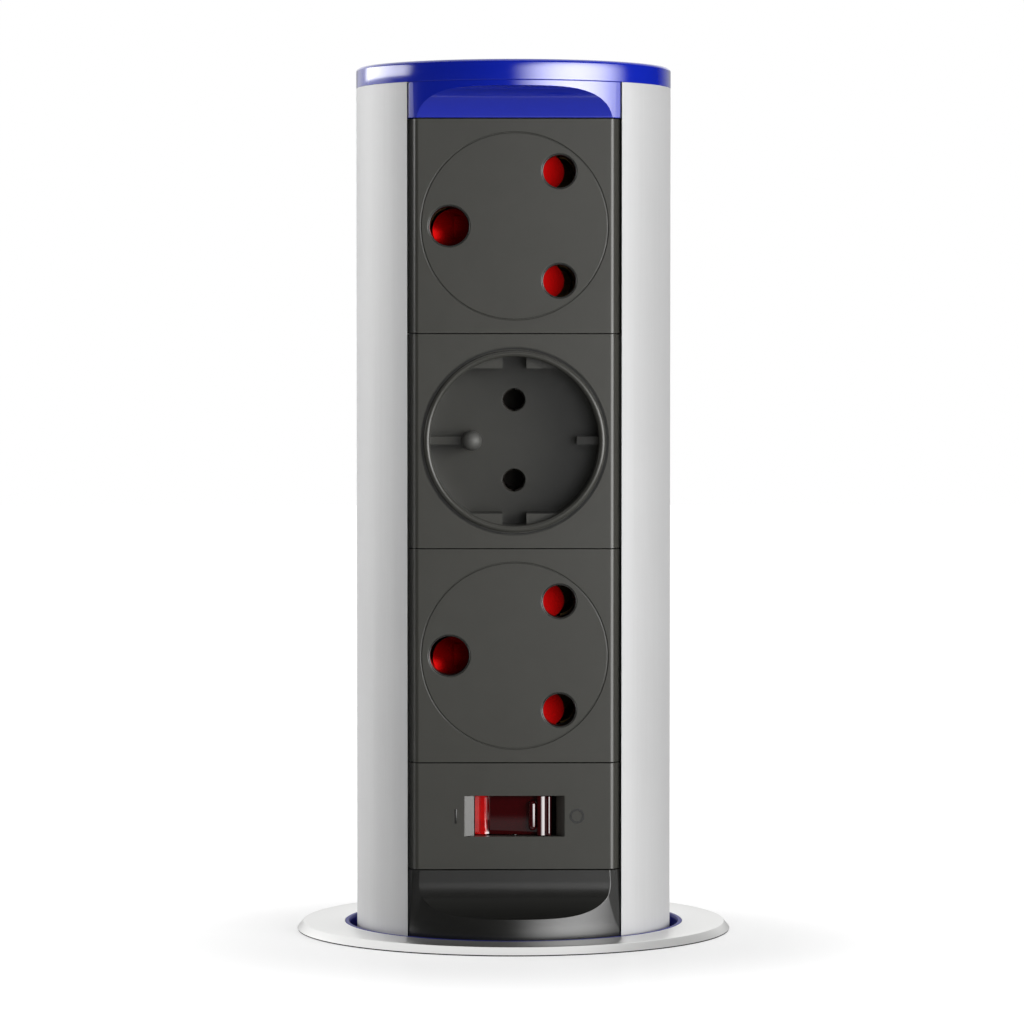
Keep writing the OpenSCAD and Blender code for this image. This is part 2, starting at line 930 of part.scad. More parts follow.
module low_face() {
    color([0.25, 0.25, 0.24])
        round_pin_face(low_c);
}

module low_shutter() {
    color([0.75, 0.02, 0.02])
        round_pin_shutter(low_c);
}

module low_shutter_spring() {
    color([0.7, 0.7, 0.7])
        coil_spring(low_c);
}

module low_housing() {
    color([0.15, 0.15, 0.15])
        round_pin_housing(low_c);
}

module low_cover() {
    color([0.18, 0.18, 0.18])
        round_pin_cover(low_c);
}

module low_line_contact() {
    color([0.80, 0.62, 0.30])
        line_contact(low_c);
}

module low_neutral_contact() {
    color([0.80, 0.62, 0.30])
        neutral_contact(low_c);
}

module low_earth_contact() {
    color([0.80, 0.62, 0.30])
        earth_contact(low_c);
}

// Recessed socket in the middle

recess_r = recess_d / 2;
recess_floor = -face_offset + recess_depth;
recess_back = recess_floor + recess_wall;
recess_out_r = recess_r + recess_wall;
small_pin_r = 2.4;

module mid_face() {
    color([0.25, 0.25, 0.24])
        difference() {
            union() {
                difference() {
                    face_block(mid_z, socket_h);
                    box([-shutter_room_w / 2, cavity_y, mid_c - socket_h / 2 + 2.5],
                        [shutter_room_w / 2, housing_y + cut, mid_c + socket_h / 2 - 2.5]);
                    rim_groove();
                }
                rod_y(recess_out_r, -face_offset, recess_back, 0, mid_c);
                recess_rim();
                for (side = [-1, 1])
                    rod_y(small_pin_r + contact_t + 0.1 + sleeve_wall, recess_floor, 2, 0,
                          mid_c + side * pin_spacing / 2);
            }
            difference() {
                rod_y(recess_r, -face_offset - 2, recess_floor, 0, mid_c);
                recess_lugs();
                recess_ribs();
            }
            for (side = [-1, 1])
                small_pin_bore(mid_c + side * pin_spacing / 2);
            rod_y(earth_shank_r + running, recess_floor - rib_h - cut, recess_back + cut,
                  -earth_pin_x, mid_c);
        }
}

module small_pin_bore(z) {
    rod_y(pin_hole_d / 2, recess_floor - cut, recess_back + cut, 0, z);
    rod_y(small_pin_r + contact_t + 0.1, recess_back, 2 + cut, 0, z);
}

module rim_groove() {
    difference() {
        rod_y(ring_groove_d / 2 + 0.2, -face_offset - cut, -face_offset + 0.6, 0, mid_c);
        rod_y(recess_out_r, -face_offset - 2 * cut, -face_offset + cut, 0, mid_c);
    }
}

// Rounded rim that stands proud of the face
module recess_rim() {
    r = (recess_out_r - recess_r) / 2;
    translate([0, -face_offset, mid_c])
        rotate([90, 0, 0])
            rotate_extrude()
                translate([recess_r + r, 0])
                    intersection() {
                        translate([0, rim_h - r])
                            circle(r = r);
                        translate([-r, 0])
                            square([2 * r, r]);
                    }
}

module recess_lugs() {
    for (x_side = [0, 1], z_side = [0, 1])
        translate([0, 0, mid_c])
            mirror([x_side, 0, 0])
                mirror([0, 0, z_side])
                    box([lug_gap / 2, -face_offset + lug_depth, lug_flat],
                        [lug_span / 2, recess_floor + cut, recess_d]);
}

module recess_ribs() {
    box([-recess_d, recess_floor - rib_h, mid_c - rib_w / 2],
        [-earth_pin_x, recess_floor + cut, mid_c + rib_w / 2]);
    box([recess_r - 5, recess_floor - rib_h, mid_c - rib_w / 2],
        [recess_d, recess_floor + cut, mid_c + rib_w / 2]);
}

// Earth pin: its shoulder rests on the rib and its shank goes back to the bus bar
earth_shank_r = earth_stud_d / 2 - 0.2;

module mid_earth_pin() {
    r = earth_stud_d / 2;
    tip = recess_floor - earth_stud_h;
    color([0.28, 0.28, 0.27]) {
        rod_y(r, tip + r, recess_floor - rib_h, -earth_pin_x, mid_c);
        rod_y(earth_shank_r, tip + r, contact_back, -earth_pin_x, mid_c);
        translate([-earth_pin_x, tip + r, mid_c])
            sphere(r = r);
        contact_tail(-earth_pin_x, mid_c, contact_back - contact_t, -earth_bar_x, near_bar_y);
    }
}

module mid_line_contact() {
    color([0.80, 0.62, 0.30])
        contact(0, mid_c + pin_spacing / 2, small_pin_r, recess_back + 0.1, line_bar_x, far_bar_y);
}

module mid_neutral_contact() {
    color([0.80, 0.62, 0.30])
        contact(0, mid_c - pin_spacing / 2, small_pin_r, recess_back + 0.1, neutral_bar_x, near_bar_y);
}

module mid_housing() {
    color([0.15, 0.15, 0.15])
        difference() {
            housing_box(mid_c);
            rod_y(recess_out_r + clear, housing_y - cut, housing_y + housing_wall + cut, 0, mid_c);
            boss_bores(mid_c, boss_bottom);
        }
}

module mid_cover() {
    color([0.18, 0.18, 0.18])
        difference() {
            rear_cover(mid_c);
            for (side = [-1, 1])
                tail_slot(0, mid_c + side * pin_spacing / 2);
            tail_slot(-earth_pin_x, mid_c);
            boss_bores(mid_c, cover_y - cut);
        }
}

// Switch

pivot_y = cavity_y + 2;
rocker_h = rocker_slot_h - 0.4;
slot_straight = 2.7;
body_wall = 1.25;
body_room_h = rocker_slot_h + 0.4;
body_w = 23;
body_h = body_room_h + 2 * body_wall;
body_back = housing_y + 11;
body_floor = body_back - 5;
blade_w = 6.3;
shoulder = 2;

module switch_face() {
    color([0.25, 0.25, 0.24])
        difference() {
            face_block(stack_z, switch_h);
            translate([0, 0, switch_c - rocker_slot_h / 2])
                linear_extrude(rocker_slot_h)
                    polygon([
                        [-switch_w / 2 - 0.7, -face_offset - cut],
                        [switch_w / 2 + 0.7, -face_offset - cut],
                        [switch_w / 2, -face_offset],
                        [rocker_slot_w / 2, -face_offset + slot_straight],
                        [rocker_slot_w / 2, cavity_y + cut],
                        [-rocker_slot_w / 2, cavity_y + cut],
                        [-rocker_slot_w / 2, -face_offset + slot_straight],
                        [-switch_w / 2, -face_offset]
                    ]);
            box([-body_w / 2 - shoulder - 0.2, cavity_y, switch_c - body_h / 2 - shoulder - 0.2],
                [body_w / 2 + shoulder + 0.2, housing_y + cut, switch_c + body_h / 2 + shoulder + 0.2]);
        }
}

module switch_body() {
    color([0.10, 0.10, 0.10])
        difference() {
            union() {
                box([-body_w / 2 - shoulder, cavity_y, switch_c - body_h / 2 - shoulder],
                    [body_w / 2 + shoulder, housing_y - 0.1, switch_c + body_h / 2 + shoulder]);
                box([-body_w / 2, cavity_y, switch_c - body_h / 2],
                    [body_w / 2, body_back, switch_c + body_h / 2]);
            }
            box([-body_w / 2 + 1, cavity_y - cut, switch_c - body_room_h / 2],
                [body_w / 2 - 1, body_floor, switch_c + body_room_h / 2]);
            translate([0, pivot_y, switch_c - body_h / 2 - shoulder - cut])
                cylinder(r = rocker_pin_d / 2 + running, h = body_h + 2 * shoulder + 2 * cut);
            for (x = terminal_x)
                box([x - contact_t / 2, body_floor - cut, switch_c - blade_w / 2],
                    [x + contact_t / 2, body_back + cut, switch_c + blade_w / 2]);
        }
}

terminal_x = [-8, -2.7, 2.7, 8];

module switch_terminals() {
    color([0.80, 0.62, 0.30])
        for (x = terminal_x)
            box([x - contact_t / 2, body_floor, switch_c - blade_w / 2],
                [x + contact_t / 2, body_back + 8, switch_c + blade_w / 2]);
}

module switch_cover() {
    half = switch_h / 2 - seam_gap / 2;
    color([0.15, 0.15, 0.15])
        difference() {
            box([-housing_w / 2, housing_y, switch_c - half],
                [housing_w / 2, housing_y + 2, switch_c + half]);
            box([-body_w / 2 - 0.1, housing_y - cut, switch_c - body_h / 2 - 0.1],
                [body_w / 2 + 0.1, housing_y + 2 + cut, switch_c + body_h / 2 + 0.1]);
        }
}

// Rocker seen from above, before it is turned about its pivot at [0, 0]
module rocker_outline() {
    half = rocker_l / 2;
    rise = tan(rocker_swing / 2) * half;
    hinge_front = -3.3;
    difference() {
        union() {
            polygon([
                [-half, hinge_front - rise],
                [0, hinge_front],
                [half, hinge_front - rise],
                [half, -1],
                [3, 0.8],
                [1, 2],
                [1, 5.5],
                [-1, 5.5],
                [-1, 2],
                [-3, 0.8],
                [-half, -1]
            ]);
            circle(r = 2.2);
        }
        translate([-half + 3, -1.9])
            circle(r = lamp_r + 0.1);
    }
}

lamp_r = 1;

module at_pivot() {
    translate([0, pivot_y, switch_c])
        rotate([0, 0, -rocker_swing / 2])
            children();
}

module rocker() {
    pin_l = body_h - 0.2;
    color([0.55, 0.02, 0.03])
        at_pivot() {
            translate([0, 0, -rocker_h / 2])
                linear_extrude(rocker_h)
                    rocker_outline();
            translate([0, 0, -pin_l / 2])
                cylinder(d = rocker_pin_d, h = pin_l);
        }
}

module rocker_lamp() {
    color([1.0, 0.25, 0.10])
        at_pivot()
            translate([-rocker_l / 2 + 3, -1.9, -rocker_h / 2 + 0.6])
                cylinder(r = lamp_r, h = rocker_h - 1.2);
}

// Lower end of the slot, with its finger scoop

// Slanting facets between the scoop and the slot's edges
facet_turn = 45.7;
facet_tilt = 2.4;
facet_at = [face_w / 2 - 2.3, -face_offset - 0.4, stack_z - 7.85];

module corner_facets() {
    for (side = [0, 1])
        mirror([side, 0, 0])
            translate(facet_at)
                rotate([0, -facet_tilt, -facet_turn])
                    box([0, -4, -9], [4, 5, 10]);
}

module end_scoop() {
    color([0.22, 0.22, 0.21])
        difference() {
            translate([0, 0, scoop_bottom + 0.1])
                linear_extrude(stack_z - seam_gap / 2 - scoop_bottom - 0.1)
                    round_outline();
            scoop(scoop_foot_z, 1);
            corner_facets();
            box([-face_w / 2 + 2.5, cavity_y + 1, scoop_bottom - cut],
                [face_w / 2 - 2.5, housing_y + cut, stack_z - 2.5]);
        }
}

// Screws of the rear covers, heads at the back

module module_screws() {
    color([0.75, 0.75, 0.76])
        for (zc = [low_c, mid_c, top_c], side = [-1, 1])
            translate([side * boss_x, cover_back, zc + side * boss_z])
                rotate([-90, 0, 0])
                    driven_pan_screw(module_screw_d, module_head_d, cap_head_h, module_screw_l);
}

// Bus bars and supply terminals

block_h = 26;
block_top = scoop_bottom + block_h;
block_wall = 2.5;
block_side = bar_w / 2 + block_wall;
block_y0 = near_bar_y - block_wall - bar_t;
block_y1 = far_bar_y + bar_t + block_wall + 0.5;
bar_bottom = block_top - 10;
terminal_z = block_top - bar_w;

module bus_bar(x, y, top) {
    box([x - bar_w / 2, y, bar_bottom], [x + bar_w / 2, y + bar_t, top]);
}

module line_bar() {
    color([0.85, 0.50, 0.32])
        bus_bar(line_bar_x, far_bar_y, top_c + live_spacing / 2 + 4);
}

module neutral_bar() {
    color([0.85, 0.50, 0.32])
        bus_bar(neutral_bar_x, near_bar_y, top_c - live_spacing / 2 + 4);
}

module earth_bar() {
    color([0.85, 0.50, 0.32])
        bus_bar(-earth_bar_x, near_bar_y, top_c + 4);
}

module bar_slot(x, y) {
    box([x - bar_w / 2 - 0.1, y - 0.1, bar_bottom - 0.1],
        [x + bar_w / 2 + 0.1, y + bar_t + 0.1, block_top + cut]);
}

module terminal_block() {
    color([0.88, 0.87, 0.84])
        difference() {
            box([-earth_bar_x - block_side, block_y0, scoop_bottom],
                [line_bar_x + block_side, block_y1, block_top]);
            bar_slot(line_bar_x, far_bar_y);
            bar_slot(neutral_bar_x, near_bar_y);
            bar_slot(-earth_bar_x, near_bar_y);
            terminal_hole(line_bar_x, far_bar_y);
            terminal_hole(neutral_bar_x, near_bar_y);
            terminal_hole(-earth_bar_x, near_bar_y);
        }
}

terminal_screw_d = 3.5;

module terminal_hole(x, y) {
    rod_y(terminal_screw_d / 2 + running, block_y0 - cut, y, x, terminal_z);
}

module terminal_screws() {
    color([0.80, 0.66, 0.36])
        for (p = [[line_bar_x, far_bar_y], [neutral_bar_x, near_bar_y], [-earth_bar_x, near_bar_y]])
            difference() {
                rod_y(terminal_screw_d / 2, block_y0 - 0.8, p[1] - 0.1, p[0], terminal_z);
                box([p[0] - terminal_screw_d, block_y0 - 0.8 - cut, terminal_z - 0.4],
                    [p[0] + terminal_screw_d, block_y0, terminal_z + 0.4]);
            }
}

// Foot with its stop ring, and the cable gland

gland_bore_r = gland_d / 2 + 0.1;
foot_head_h = 2;

module foot_plate() {
    color([0.13, 0.13, 0.14])
        difference() {
            union() {
                translate([0, 0, foot_bottom])
                    cylinder(r = column_r - 0.2, h = scoop_bottom - foot_bottom);
                translate([0, 0, foot_bottom])
                    cylinder(r = column_r + foot_lip, h = foot_top - foot_bottom);
            }
            translate([0, -gland_offset, foot_bottom - cut])
                cylinder(r = gland_bore_r, h = foot_t * 3);
            at_channels()
                translate([0, 0, foot_bottom - cut]) {
                    cylinder(r = end_screw_d / 2 + 0.2, h = foot_t * 3);
                    cylinder(r = end_head_d / 2 + 0.4, h = foot_head_h + 0.4 + cut);
                }
            translate([-keyway_w / 2, column_r - keyway_depth, foot_top])
                cube([keyway_w, keyway_depth + cut, foot_t]);
        }
}

module foot_screws() {
    head_z = foot_bottom + foot_head_h + 0.4;
    color([0.75, 0.75, 0.76])
        at_channels()
            translate([0, 0, head_z])
                mirror([0, 0, 1])
                    driven_pan_screw(end_screw_d, end_head_d, foot_head_h, foot_screw_l);
}

gland_r = gland_d / 2;
hex_h = 4;
locknut_h = 5;
collar_r = gland_r - 1;
collar_l = 10;
seal_r = collar_r - 2;
seal_l = collar_l + 1.2;
gland_seat = foot_bottom;
gland_mouth = cord_d / 2 + 1.5;

module at_gland(z) {
    translate([0, -gland_offset, z])
        children();
}

module gland_body() {
    color([0.20, 0.20, 0.21])
        at_gland(gland_seat)
            difference() {
                union() {
                    cylinder(r = gland_r, h = scoop_bottom - gland_seat + locknut_h + 1);
                    translate([0, 0, -hex_h])
                        cylinder(d = gland_hex_d, h = hex_h, $fn = 6);
                    translate([0, 0, -hex_h - collar_l])
                        cylinder(r = collar_r, h = collar_l);
                }
                translate([0, 0, -hex_h - collar_l - cut])
                    cylinder(r = seal_r, h = collar_l + cut);
                translate([0, 0, -hex_h - 2 * cut])
                    cylinder(r = gland_mouth, h = scoop_bottom - gland_seat + collar_l + hex_h + locknut_h);
            }
}

module gland_locknut() {
    color([0.20, 0.20, 0.21])
        at_gland(scoop_bottom)
            difference() {
                cylinder(d = gland_hex_d, h = locknut_h, $fn = 6);
                translate([0, 0, -cut])
                    cylinder(r = gland_r + running, h = locknut_h + 2 * cut);
            }
}

module gland_seal() {
    color([0.05, 0.05, 0.05])
        at_gland(gland_seat - hex_h - collar_l)
            translate([0, 0, -1.5])
                difference() {
                    cylinder(r = seal_r - running, h = seal_l);
                    translate([0, 0, -cut])
                        cylinder(d = cord_d, h = seal_l + 2 * cut);
                }
}

module gland_cap() {
    skirt = collar_l + 1.4;
    color([0.20, 0.20, 0.21])
        at_gland(gland_seat - hex_h - 0.4 - skirt)
            difference() {
                union() {
                    cylinder(d = gland_hex_d - 1, h = skirt, $fn = 6);
                    translate([0, 0, -4])
                        cylinder(r1 = gland_mouth + 2, r2 = gland_hex_d / 2 - 2, h = 4);
                }
                translate([0, 0, 0])
                    cylinder(r = collar_r + running, h = skirt + cut);
                translate([0, 0, -5])
                    cylinder(r = gland_mouth, h = 10);
            }
}

flange_ring();
flange_gasket();
liner_ring();
threaded_sleeve();
friction_pads();
clamp_washer();
clamp_nut();
column_profile();
cap_plate();
cap_screws();
cap_disc();
grip_insert();
top_face();
top_shutter();
top_shutter_spring();
top_housing();
top_cover();
top_line_contact();
top_neutral_contact();
top_earth_contact();
mid_face();
mid_earth_pin();
mid_line_contact();
mid_neutral_contact();
mid_housing();
mid_cover();
low_face();
low_shutter();
low_shutter_spring();
low_housing();
low_cover();
low_line_contact();
low_neutral_contact();
low_earth_contact();
switch_face();
switch_body();
switch_cover();
rocker();
rocker_lamp();
switch_terminals();
end_scoop();
module_screws();
line_bar();
neutral_bar();
earth_bar();
terminal_block();
terminal_screws();
foot_plate();
foot_screws();
gland_body();
gland_locknut();
gland_seal();
gland_cap();
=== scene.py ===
import math

import bmesh
import bpy
from mathutils import Matrix, Vector


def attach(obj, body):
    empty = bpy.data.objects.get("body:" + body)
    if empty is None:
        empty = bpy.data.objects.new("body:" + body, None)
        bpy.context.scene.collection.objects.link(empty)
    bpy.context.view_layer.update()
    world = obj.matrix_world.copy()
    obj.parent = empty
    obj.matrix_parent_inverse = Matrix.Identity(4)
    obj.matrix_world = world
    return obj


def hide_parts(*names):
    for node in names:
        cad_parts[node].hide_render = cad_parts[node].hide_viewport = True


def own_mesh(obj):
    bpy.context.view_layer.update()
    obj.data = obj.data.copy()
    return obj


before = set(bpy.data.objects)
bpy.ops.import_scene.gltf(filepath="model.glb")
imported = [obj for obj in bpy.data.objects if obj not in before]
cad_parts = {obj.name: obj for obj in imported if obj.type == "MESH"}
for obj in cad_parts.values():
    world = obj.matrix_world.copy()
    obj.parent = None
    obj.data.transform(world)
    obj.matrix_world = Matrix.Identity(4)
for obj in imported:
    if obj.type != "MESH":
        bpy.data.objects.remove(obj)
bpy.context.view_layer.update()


# Camera: a long lens a metre in front of the column, half a degree to the left of its middle.
# It stands a little above half the column's height and is tipped down by two degrees.
camera_data = bpy.data.cameras.new("camera")
camera_data.sensor_width = 36
camera_data.lens = 154.29
camera_data.clip_start = 0.01
camera = bpy.data.objects.new("camera", camera_data)
camera_distance, camera_height = 1.0505, 0.1369
camera_turn, camera_tip, camera_aim = math.radians(0.5), 2.02, 0.019
camera.location = (
    -camera_distance * math.sin(camera_turn),
    -camera_distance * math.cos(camera_turn),
    camera_height,
)
camera.rotation_euler = (math.radians(90 - camera_tip), 0, -camera_turn + math.radians(camera_aim))
bpy.context.scene.collection.objects.link(camera)
bpy.context.scene.camera = camera
bpy.context.scene.view_settings.view_transform = "Standard"


# Room: a white background behind the object and a dim studio in front of it, so that gloss shows
# both. The camera itself sees plain white, and matt surfaces get a soft light of their own.
def link(tree, source, target):
    tree.links.new(source, target)


def put(tree, value, socket):
    """Gives a socket a plain number or the output of another node."""
    if isinstance(value, (int, float)):
        socket.default_value = value
    else:
        link(tree, value, socket)


def math_node(tree, operation, *values, clamp=False):
    node = tree.nodes.new("ShaderNodeMath")
    node.operation = operation
    node.use_clamp = clamp
    for value, socket in zip(values, node.inputs):
        put(tree, value, socket)
    return node.outputs[0]


def add(tree, first, second, clamp=False):
    return math_node(tree, "ADD", first, second, clamp=clamp)


def minus(tree, first, second):
    return math_node(tree, "SUBTRACT", first, second)


def times(tree, first, second, clamp=False):
    return math_node(tree, "MULTIPLY", first, second, clamp=clamp)


def map_range(tree, value, low, high, to_low=0.0, to_high=1.0):
    node = tree.nodes.new("ShaderNodeMapRange")
    node.interpolation_type = "SMOOTHSTEP"
    link(tree, value, node.inputs["Value"])
    for name, number in (
        ("From Min", low), ("From Max", high), ("To Min", to_low), ("To Max", to_high),
    ):
        node.inputs[name].default_value = number
    return node.outputs["Result"]


def split(tree, vector):
    """The X, Y and Z of a vector."""
    node = tree.nodes.new("ShaderNodeSeparateXYZ")
    link(tree, vector, node.inputs[0])
    return node.outputs


room = bpy.data.worlds.new("room")
bpy.context.scene.world = room
room.use_nodes = True
room_tree = room.node_tree
room_tree.nodes.clear()
direction = room_tree.nodes.new("ShaderNodeTexCoord")
to_right, to_back, to_top = split(room_tree, direction.outputs["Generated"])
# What gloss shows: the wall behind, white above it but dimmer to the right, the floor, and a
# bright part at the back on the left.
wall = map_range(room_tree, to_back, 0.6, 0.97, 0.0, 0.36)
rise = math_node(room_tree, "MULTIPLY_ADD", to_top, 2.0, to_back)
above = map_range(room_tree, rise, 1.06, 1.25, 0.02, 1.03)
above = times(room_tree, above, map_range(room_tree, to_right, 0.4, 0.64, 1.0, 0.5))
below = map_range(room_tree, to_top, -0.26, -0.15, 0.17, 0.0)
left_back = map_range(room_tree, minus(room_tree, to_back, to_right), 1.05, 1.35, 0.0, 0.7)
mirrored = wall
for part in (above, below, left_back):
    mirrored = math_node(room_tree, "MAXIMUM", mirrored, part)
# What lights matt surfaces: more from the back and from the top.
soft_back = map_range(room_tree, to_back, -0.2, 0.7, 0.13, 0.6)
soft_top = map_range(room_tree, to_top, 0.2, 0.9, 0.0, 0.25)
soft = add(room_tree, soft_back, soft_top)
rays = room_tree.nodes.new("ShaderNodeLightPath")
sharp_rays = math_node(
    room_tree, "MAXIMUM", rays.outputs["Is Glossy Ray"], rays.outputs["Is Transmission Ray"]
)
sharp_light = times(room_tree, sharp_rays, mirrored)
soft_light = times(room_tree, minus(room_tree, 1.0, sharp_rays), soft)
unseen_light = add(room_tree, sharp_light, soft_light)
seen = rays.outputs["Is Camera Ray"]
strength = add(room_tree, seen, times(room_tree, minus(room_tree, 1.0, seen), unseen_light))
room_light = room_tree.nodes.new("ShaderNodeBackground")
room_light.inputs["Color"].default_value = (1, 1, 1, 1)
link(room_tree, strength, room_light.inputs["Strength"])
room_output = room_tree.nodes.new("ShaderNodeOutputWorld")
link(room_tree, room_light.outputs[0], room_output.inputs[0])


# Softboxes: four lamps behind cloth, each brightest in its middle and fading towards its edges.
# The right and left ones show only in gloss. The front one, and the one behind on the left, only
# light matt surfaces.
lamp_distance, lamp_aim_z = 1.3, 0.1


def softbox(name, turn, size, centre_z, radiance, fades, in_gloss):
    data = bpy.data.lights.new(name, "AREA")
    data.shape = "RECTANGLE"
    data.size, data.size_y = size
    data.energy = radiance * math.pi * size[0] * size[1]
    lamp = bpy.data.objects.new(name, data)
    angle = math.radians(turn)
    lamp.location = (lamp_distance * math.sin(angle), -lamp_distance * math.cos(angle), centre_z)
    aim = Vector((0, 0, lamp_aim_z)) - lamp.location
    lamp.rotation_euler = aim.to_track_quat("-Z", "Y").to_euler()
    lamp.visible_camera = False
    lamp.visible_glossy = in_gloss
    lamp.visible_diffuse = not in_gloss
    bpy.context.scene.collection.objects.link(lamp)
    data.use_nodes = True
    tree = data.node_tree
    cloth = tree.nodes.new("ShaderNodeNewGeometry")
    across = split(tree, cloth.outputs["Parametric"])
    shares = []
    for axis, fade in enumerate(fades):
        centred = math_node(tree, "MULTIPLY_ADD", across[axis], 2.0, -1.0)
        off_centre = math_node(tree, "ABSOLUTE", centred)
        shares.append(map_range(tree, off_centre, 1.0 - fade, 1.0, 1.0, 0.0))
    glow = times(tree, shares[0], shares[1])
    link(tree, glow, tree.nodes["Emission"].inputs["Strength"])


softbox("softbox_right", 44, (2.86, 0.98), 0.16, 8.8, (1.0, 0.5), in_gloss=True)
softbox("softbox_front", 47, (1.3, 0.9), 0.18, 12.0, (0.5, 0.4), in_gloss=False)
softbox("softbox_left", -108.5, (1.64, 0.29), 0.365, 4.5, (0.42, 0.2), in_gloss=True)
softbox("softbox_behind", -115, (1.2, 1.2), 0.02, 11.2, (0.5, 0.4), in_gloss=False)


# Table: a white surface with a hole under the flange. It glows a little, so that it is as white
# as the background but keeps the object's shadow, and it can be seen through from below.
def new_material(name):
    material = bpy.data.materials.new(name)
    material.use_nodes = True
    material.node_tree.nodes.clear()
    output = material.node_tree.nodes.new("ShaderNodeOutputMaterial")
    return material, material.node_tree, output


def place_node(tree):
    return tree.nodes.new("ShaderNodeTexCoord").outputs["Object"]


def mix_shaders(tree, share, first, second):
    node = tree.nodes.new("ShaderNodeMixShader")
    put(tree, share, node.inputs[0])
    link(tree, first.outputs[0], node.inputs[1])
    link(tree, second.outputs[0], node.inputs[2])
    return node


def table_finish():
    material, tree, output = new_material("white_table")
    matt = tree.nodes.new("ShaderNodeBsdfDiffuse")
    matt.inputs["Color"].default_value = (0.9, 0.9, 0.9, 1)
    glow = tree.nodes.new("ShaderNodeEmission")
    glow.inputs["Color"].default_value = (1, 1, 1, 1)
    glow_rays = tree.nodes.new("ShaderNodeLightPath")
    glow_strength = map_range(tree, glow_rays.outputs["Is Camera Ray"], 0, 1, 0.5, 1.27)
    link(tree, glow_strength, glow.inputs["Strength"])
    x, y, _ = split(tree, place_node(tree))
    flat = tree.nodes.new("ShaderNodeCombineXYZ")
    link(tree, x, flat.inputs["X"])
    link(tree, add(tree, y, 0.02), flat.inputs["Y"])
    radius = tree.nodes.new("ShaderNodeVectorMath")
    radius.operation = "LENGTH"
    link(tree, flat.outputs[0], radius.inputs[0])
    far = map_range(tree, radius.outputs["Value"], 0.05, 0.13, 0.4, 1.0)
    lit = mix_shaders(tree, far, matt, glow)
    gloss = tree.nodes.new("ShaderNodeBsdfAnisotropic")
    gloss.inputs["Roughness"].default_value = 0.12
    polished = mix_shaders(tree, 0.05, lit, gloss)
    clear = tree.nodes.new("ShaderNodeBsdfTransparent")
    sides = tree.nodes.new("ShaderNodeNewGeometry")
    seen_through = mix_shaders(tree, sides.outputs["Backfacing"], polished, clear)
    link(tree, seen_through.outputs[0], output.inputs["Surface"])
    return material


def on_circle(r, i, turns):
    """Point i of so many on a circle."""
    angle = 2 * math.pi * i / turns
    return r * math.cos(angle), r * math.sin(angle)


def ring_faces(rings, around, closed=True):
    """Faces between neighbouring rings of points; closed also joins the last ring to the first."""
    return [
        (
            i * around + k,
            i * around + (k + 1) % around,
            (i + 1) % rings * around + (k + 1) % around,
            (i + 1) % rings * around + k,
        )
        for i in range(rings if closed else rings - 1)
        for k in range(around)
    ]


table_rings, table_turns = (3.0, 0.2, 0.0505), 128
table_mesh = bpy.data.meshes.new("table")
table_mesh.from_pydata(
    [(*on_circle(r, i, table_turns), 0) for r in table_rings for i in range(table_turns)],
    [],
    ring_faces(len(table_rings), table_turns, closed=False),
)
table_mesh.materials.append(table_finish())
table = bpy.data.objects.new("table", table_mesh)
table.visible_glossy = False
bpy.context.scene.collection.objects.link(table)


# Flange: a turned and circularly brushed metal ring that lies on the desk, with a bevelled rim.
# Its underside is hollowed for the sleeve's rim and for a rubber gasket.
MM = 0.001


def placed(name, mesh, finish, sharp=30.0):
    """Smoothly shaded piece from a mesh; edges sharper than the angle stay sharp."""
    mesh.polygons.foreach_set("use_smooth", [True] * len(mesh.polygons))
    mesh.set_sharp_from_angle(angle=math.radians(sharp))
    mesh.materials.append(finish)
    piece = bpy.data.objects.new(name, mesh)
    bpy.context.scene.collection.objects.link(piece)
    return piece


def mesh_piece(name, points, faces, finish, sharp=30.0):
    """Piece from points in millimetres."""
    mesh = bpy.data.meshes.new(name)
    mesh.from_pydata([[c * MM for c in p] for p in points], [], faces)
    shape = bmesh.new()
    shape.from_mesh(mesh)
    bmesh.ops.remove_doubles(shape, verts=shape.verts, dist=1e-6)
    bmesh.ops.dissolve_degenerate(shape, edges=shape.edges, dist=1e-7)
    bmesh.ops.recalc_face_normals(shape, faces=shape.faces)
    shape.to_mesh(mesh)
    shape.free()
    return placed(name, mesh, finish, sharp)


def rounded(corners, segments=4):
    """Closed outline from (x, y, radius) corners, each replaced by an arc."""
    outline = []
    count = len(corners)
    for i, (x, y, r) in enumerate(corners):
        here = Vector((x, y))
        if r <= 0:
            outline.append((x, y))
            continue
        before = (Vector(corners[i - 1][:2]) - here).normalized()
        after = (Vector(corners[(i + 1) % count][:2]) - here).normalized()
        half = before.angle(after) / 2
        reach = r / math.tan(half)
        centre = here + (before + after).normalized() * (r / math.sin(half))
        start = here + before * reach - centre
        end = here + after * reach - centre
        sweep = start.angle_signed(end)
        for k in range(segments + 1):
            turn = Matrix.Rotation(-sweep * k / segments, 2)
            spot = centre + turn @ start
            outline.append((spot.x, spot.y))
    return outline


def lathe(name, corners, finish, turns=192):
    """Ring or disc turned round the column's axis from an outline of (radius, height, rounding)."""
    outline = rounded(corners)
    points = [(*on_circle(r, i, turns), z) for i in range(turns) for r, z in outline]
    return mesh_piece(name, points, ring_faces(turns, len(outline)), finish)


def new_group(name, inputs, outputs):
    tree = bpy.data.node_groups.new(name, "ShaderNodeTree")
    for label, kind, value in inputs:
        socket = tree.interface.new_socket(label, in_out="INPUT", socket_type=kind)
        socket.default_value = value
    for label, kind in outputs:
        tree.interface.new_socket(label, in_out="OUTPUT", socket_type=kind)
    start = tree.nodes.new("NodeGroupInput")
    end = tree.nodes.new("NodeGroupOutput")
    return tree, start.outputs, end.inputs


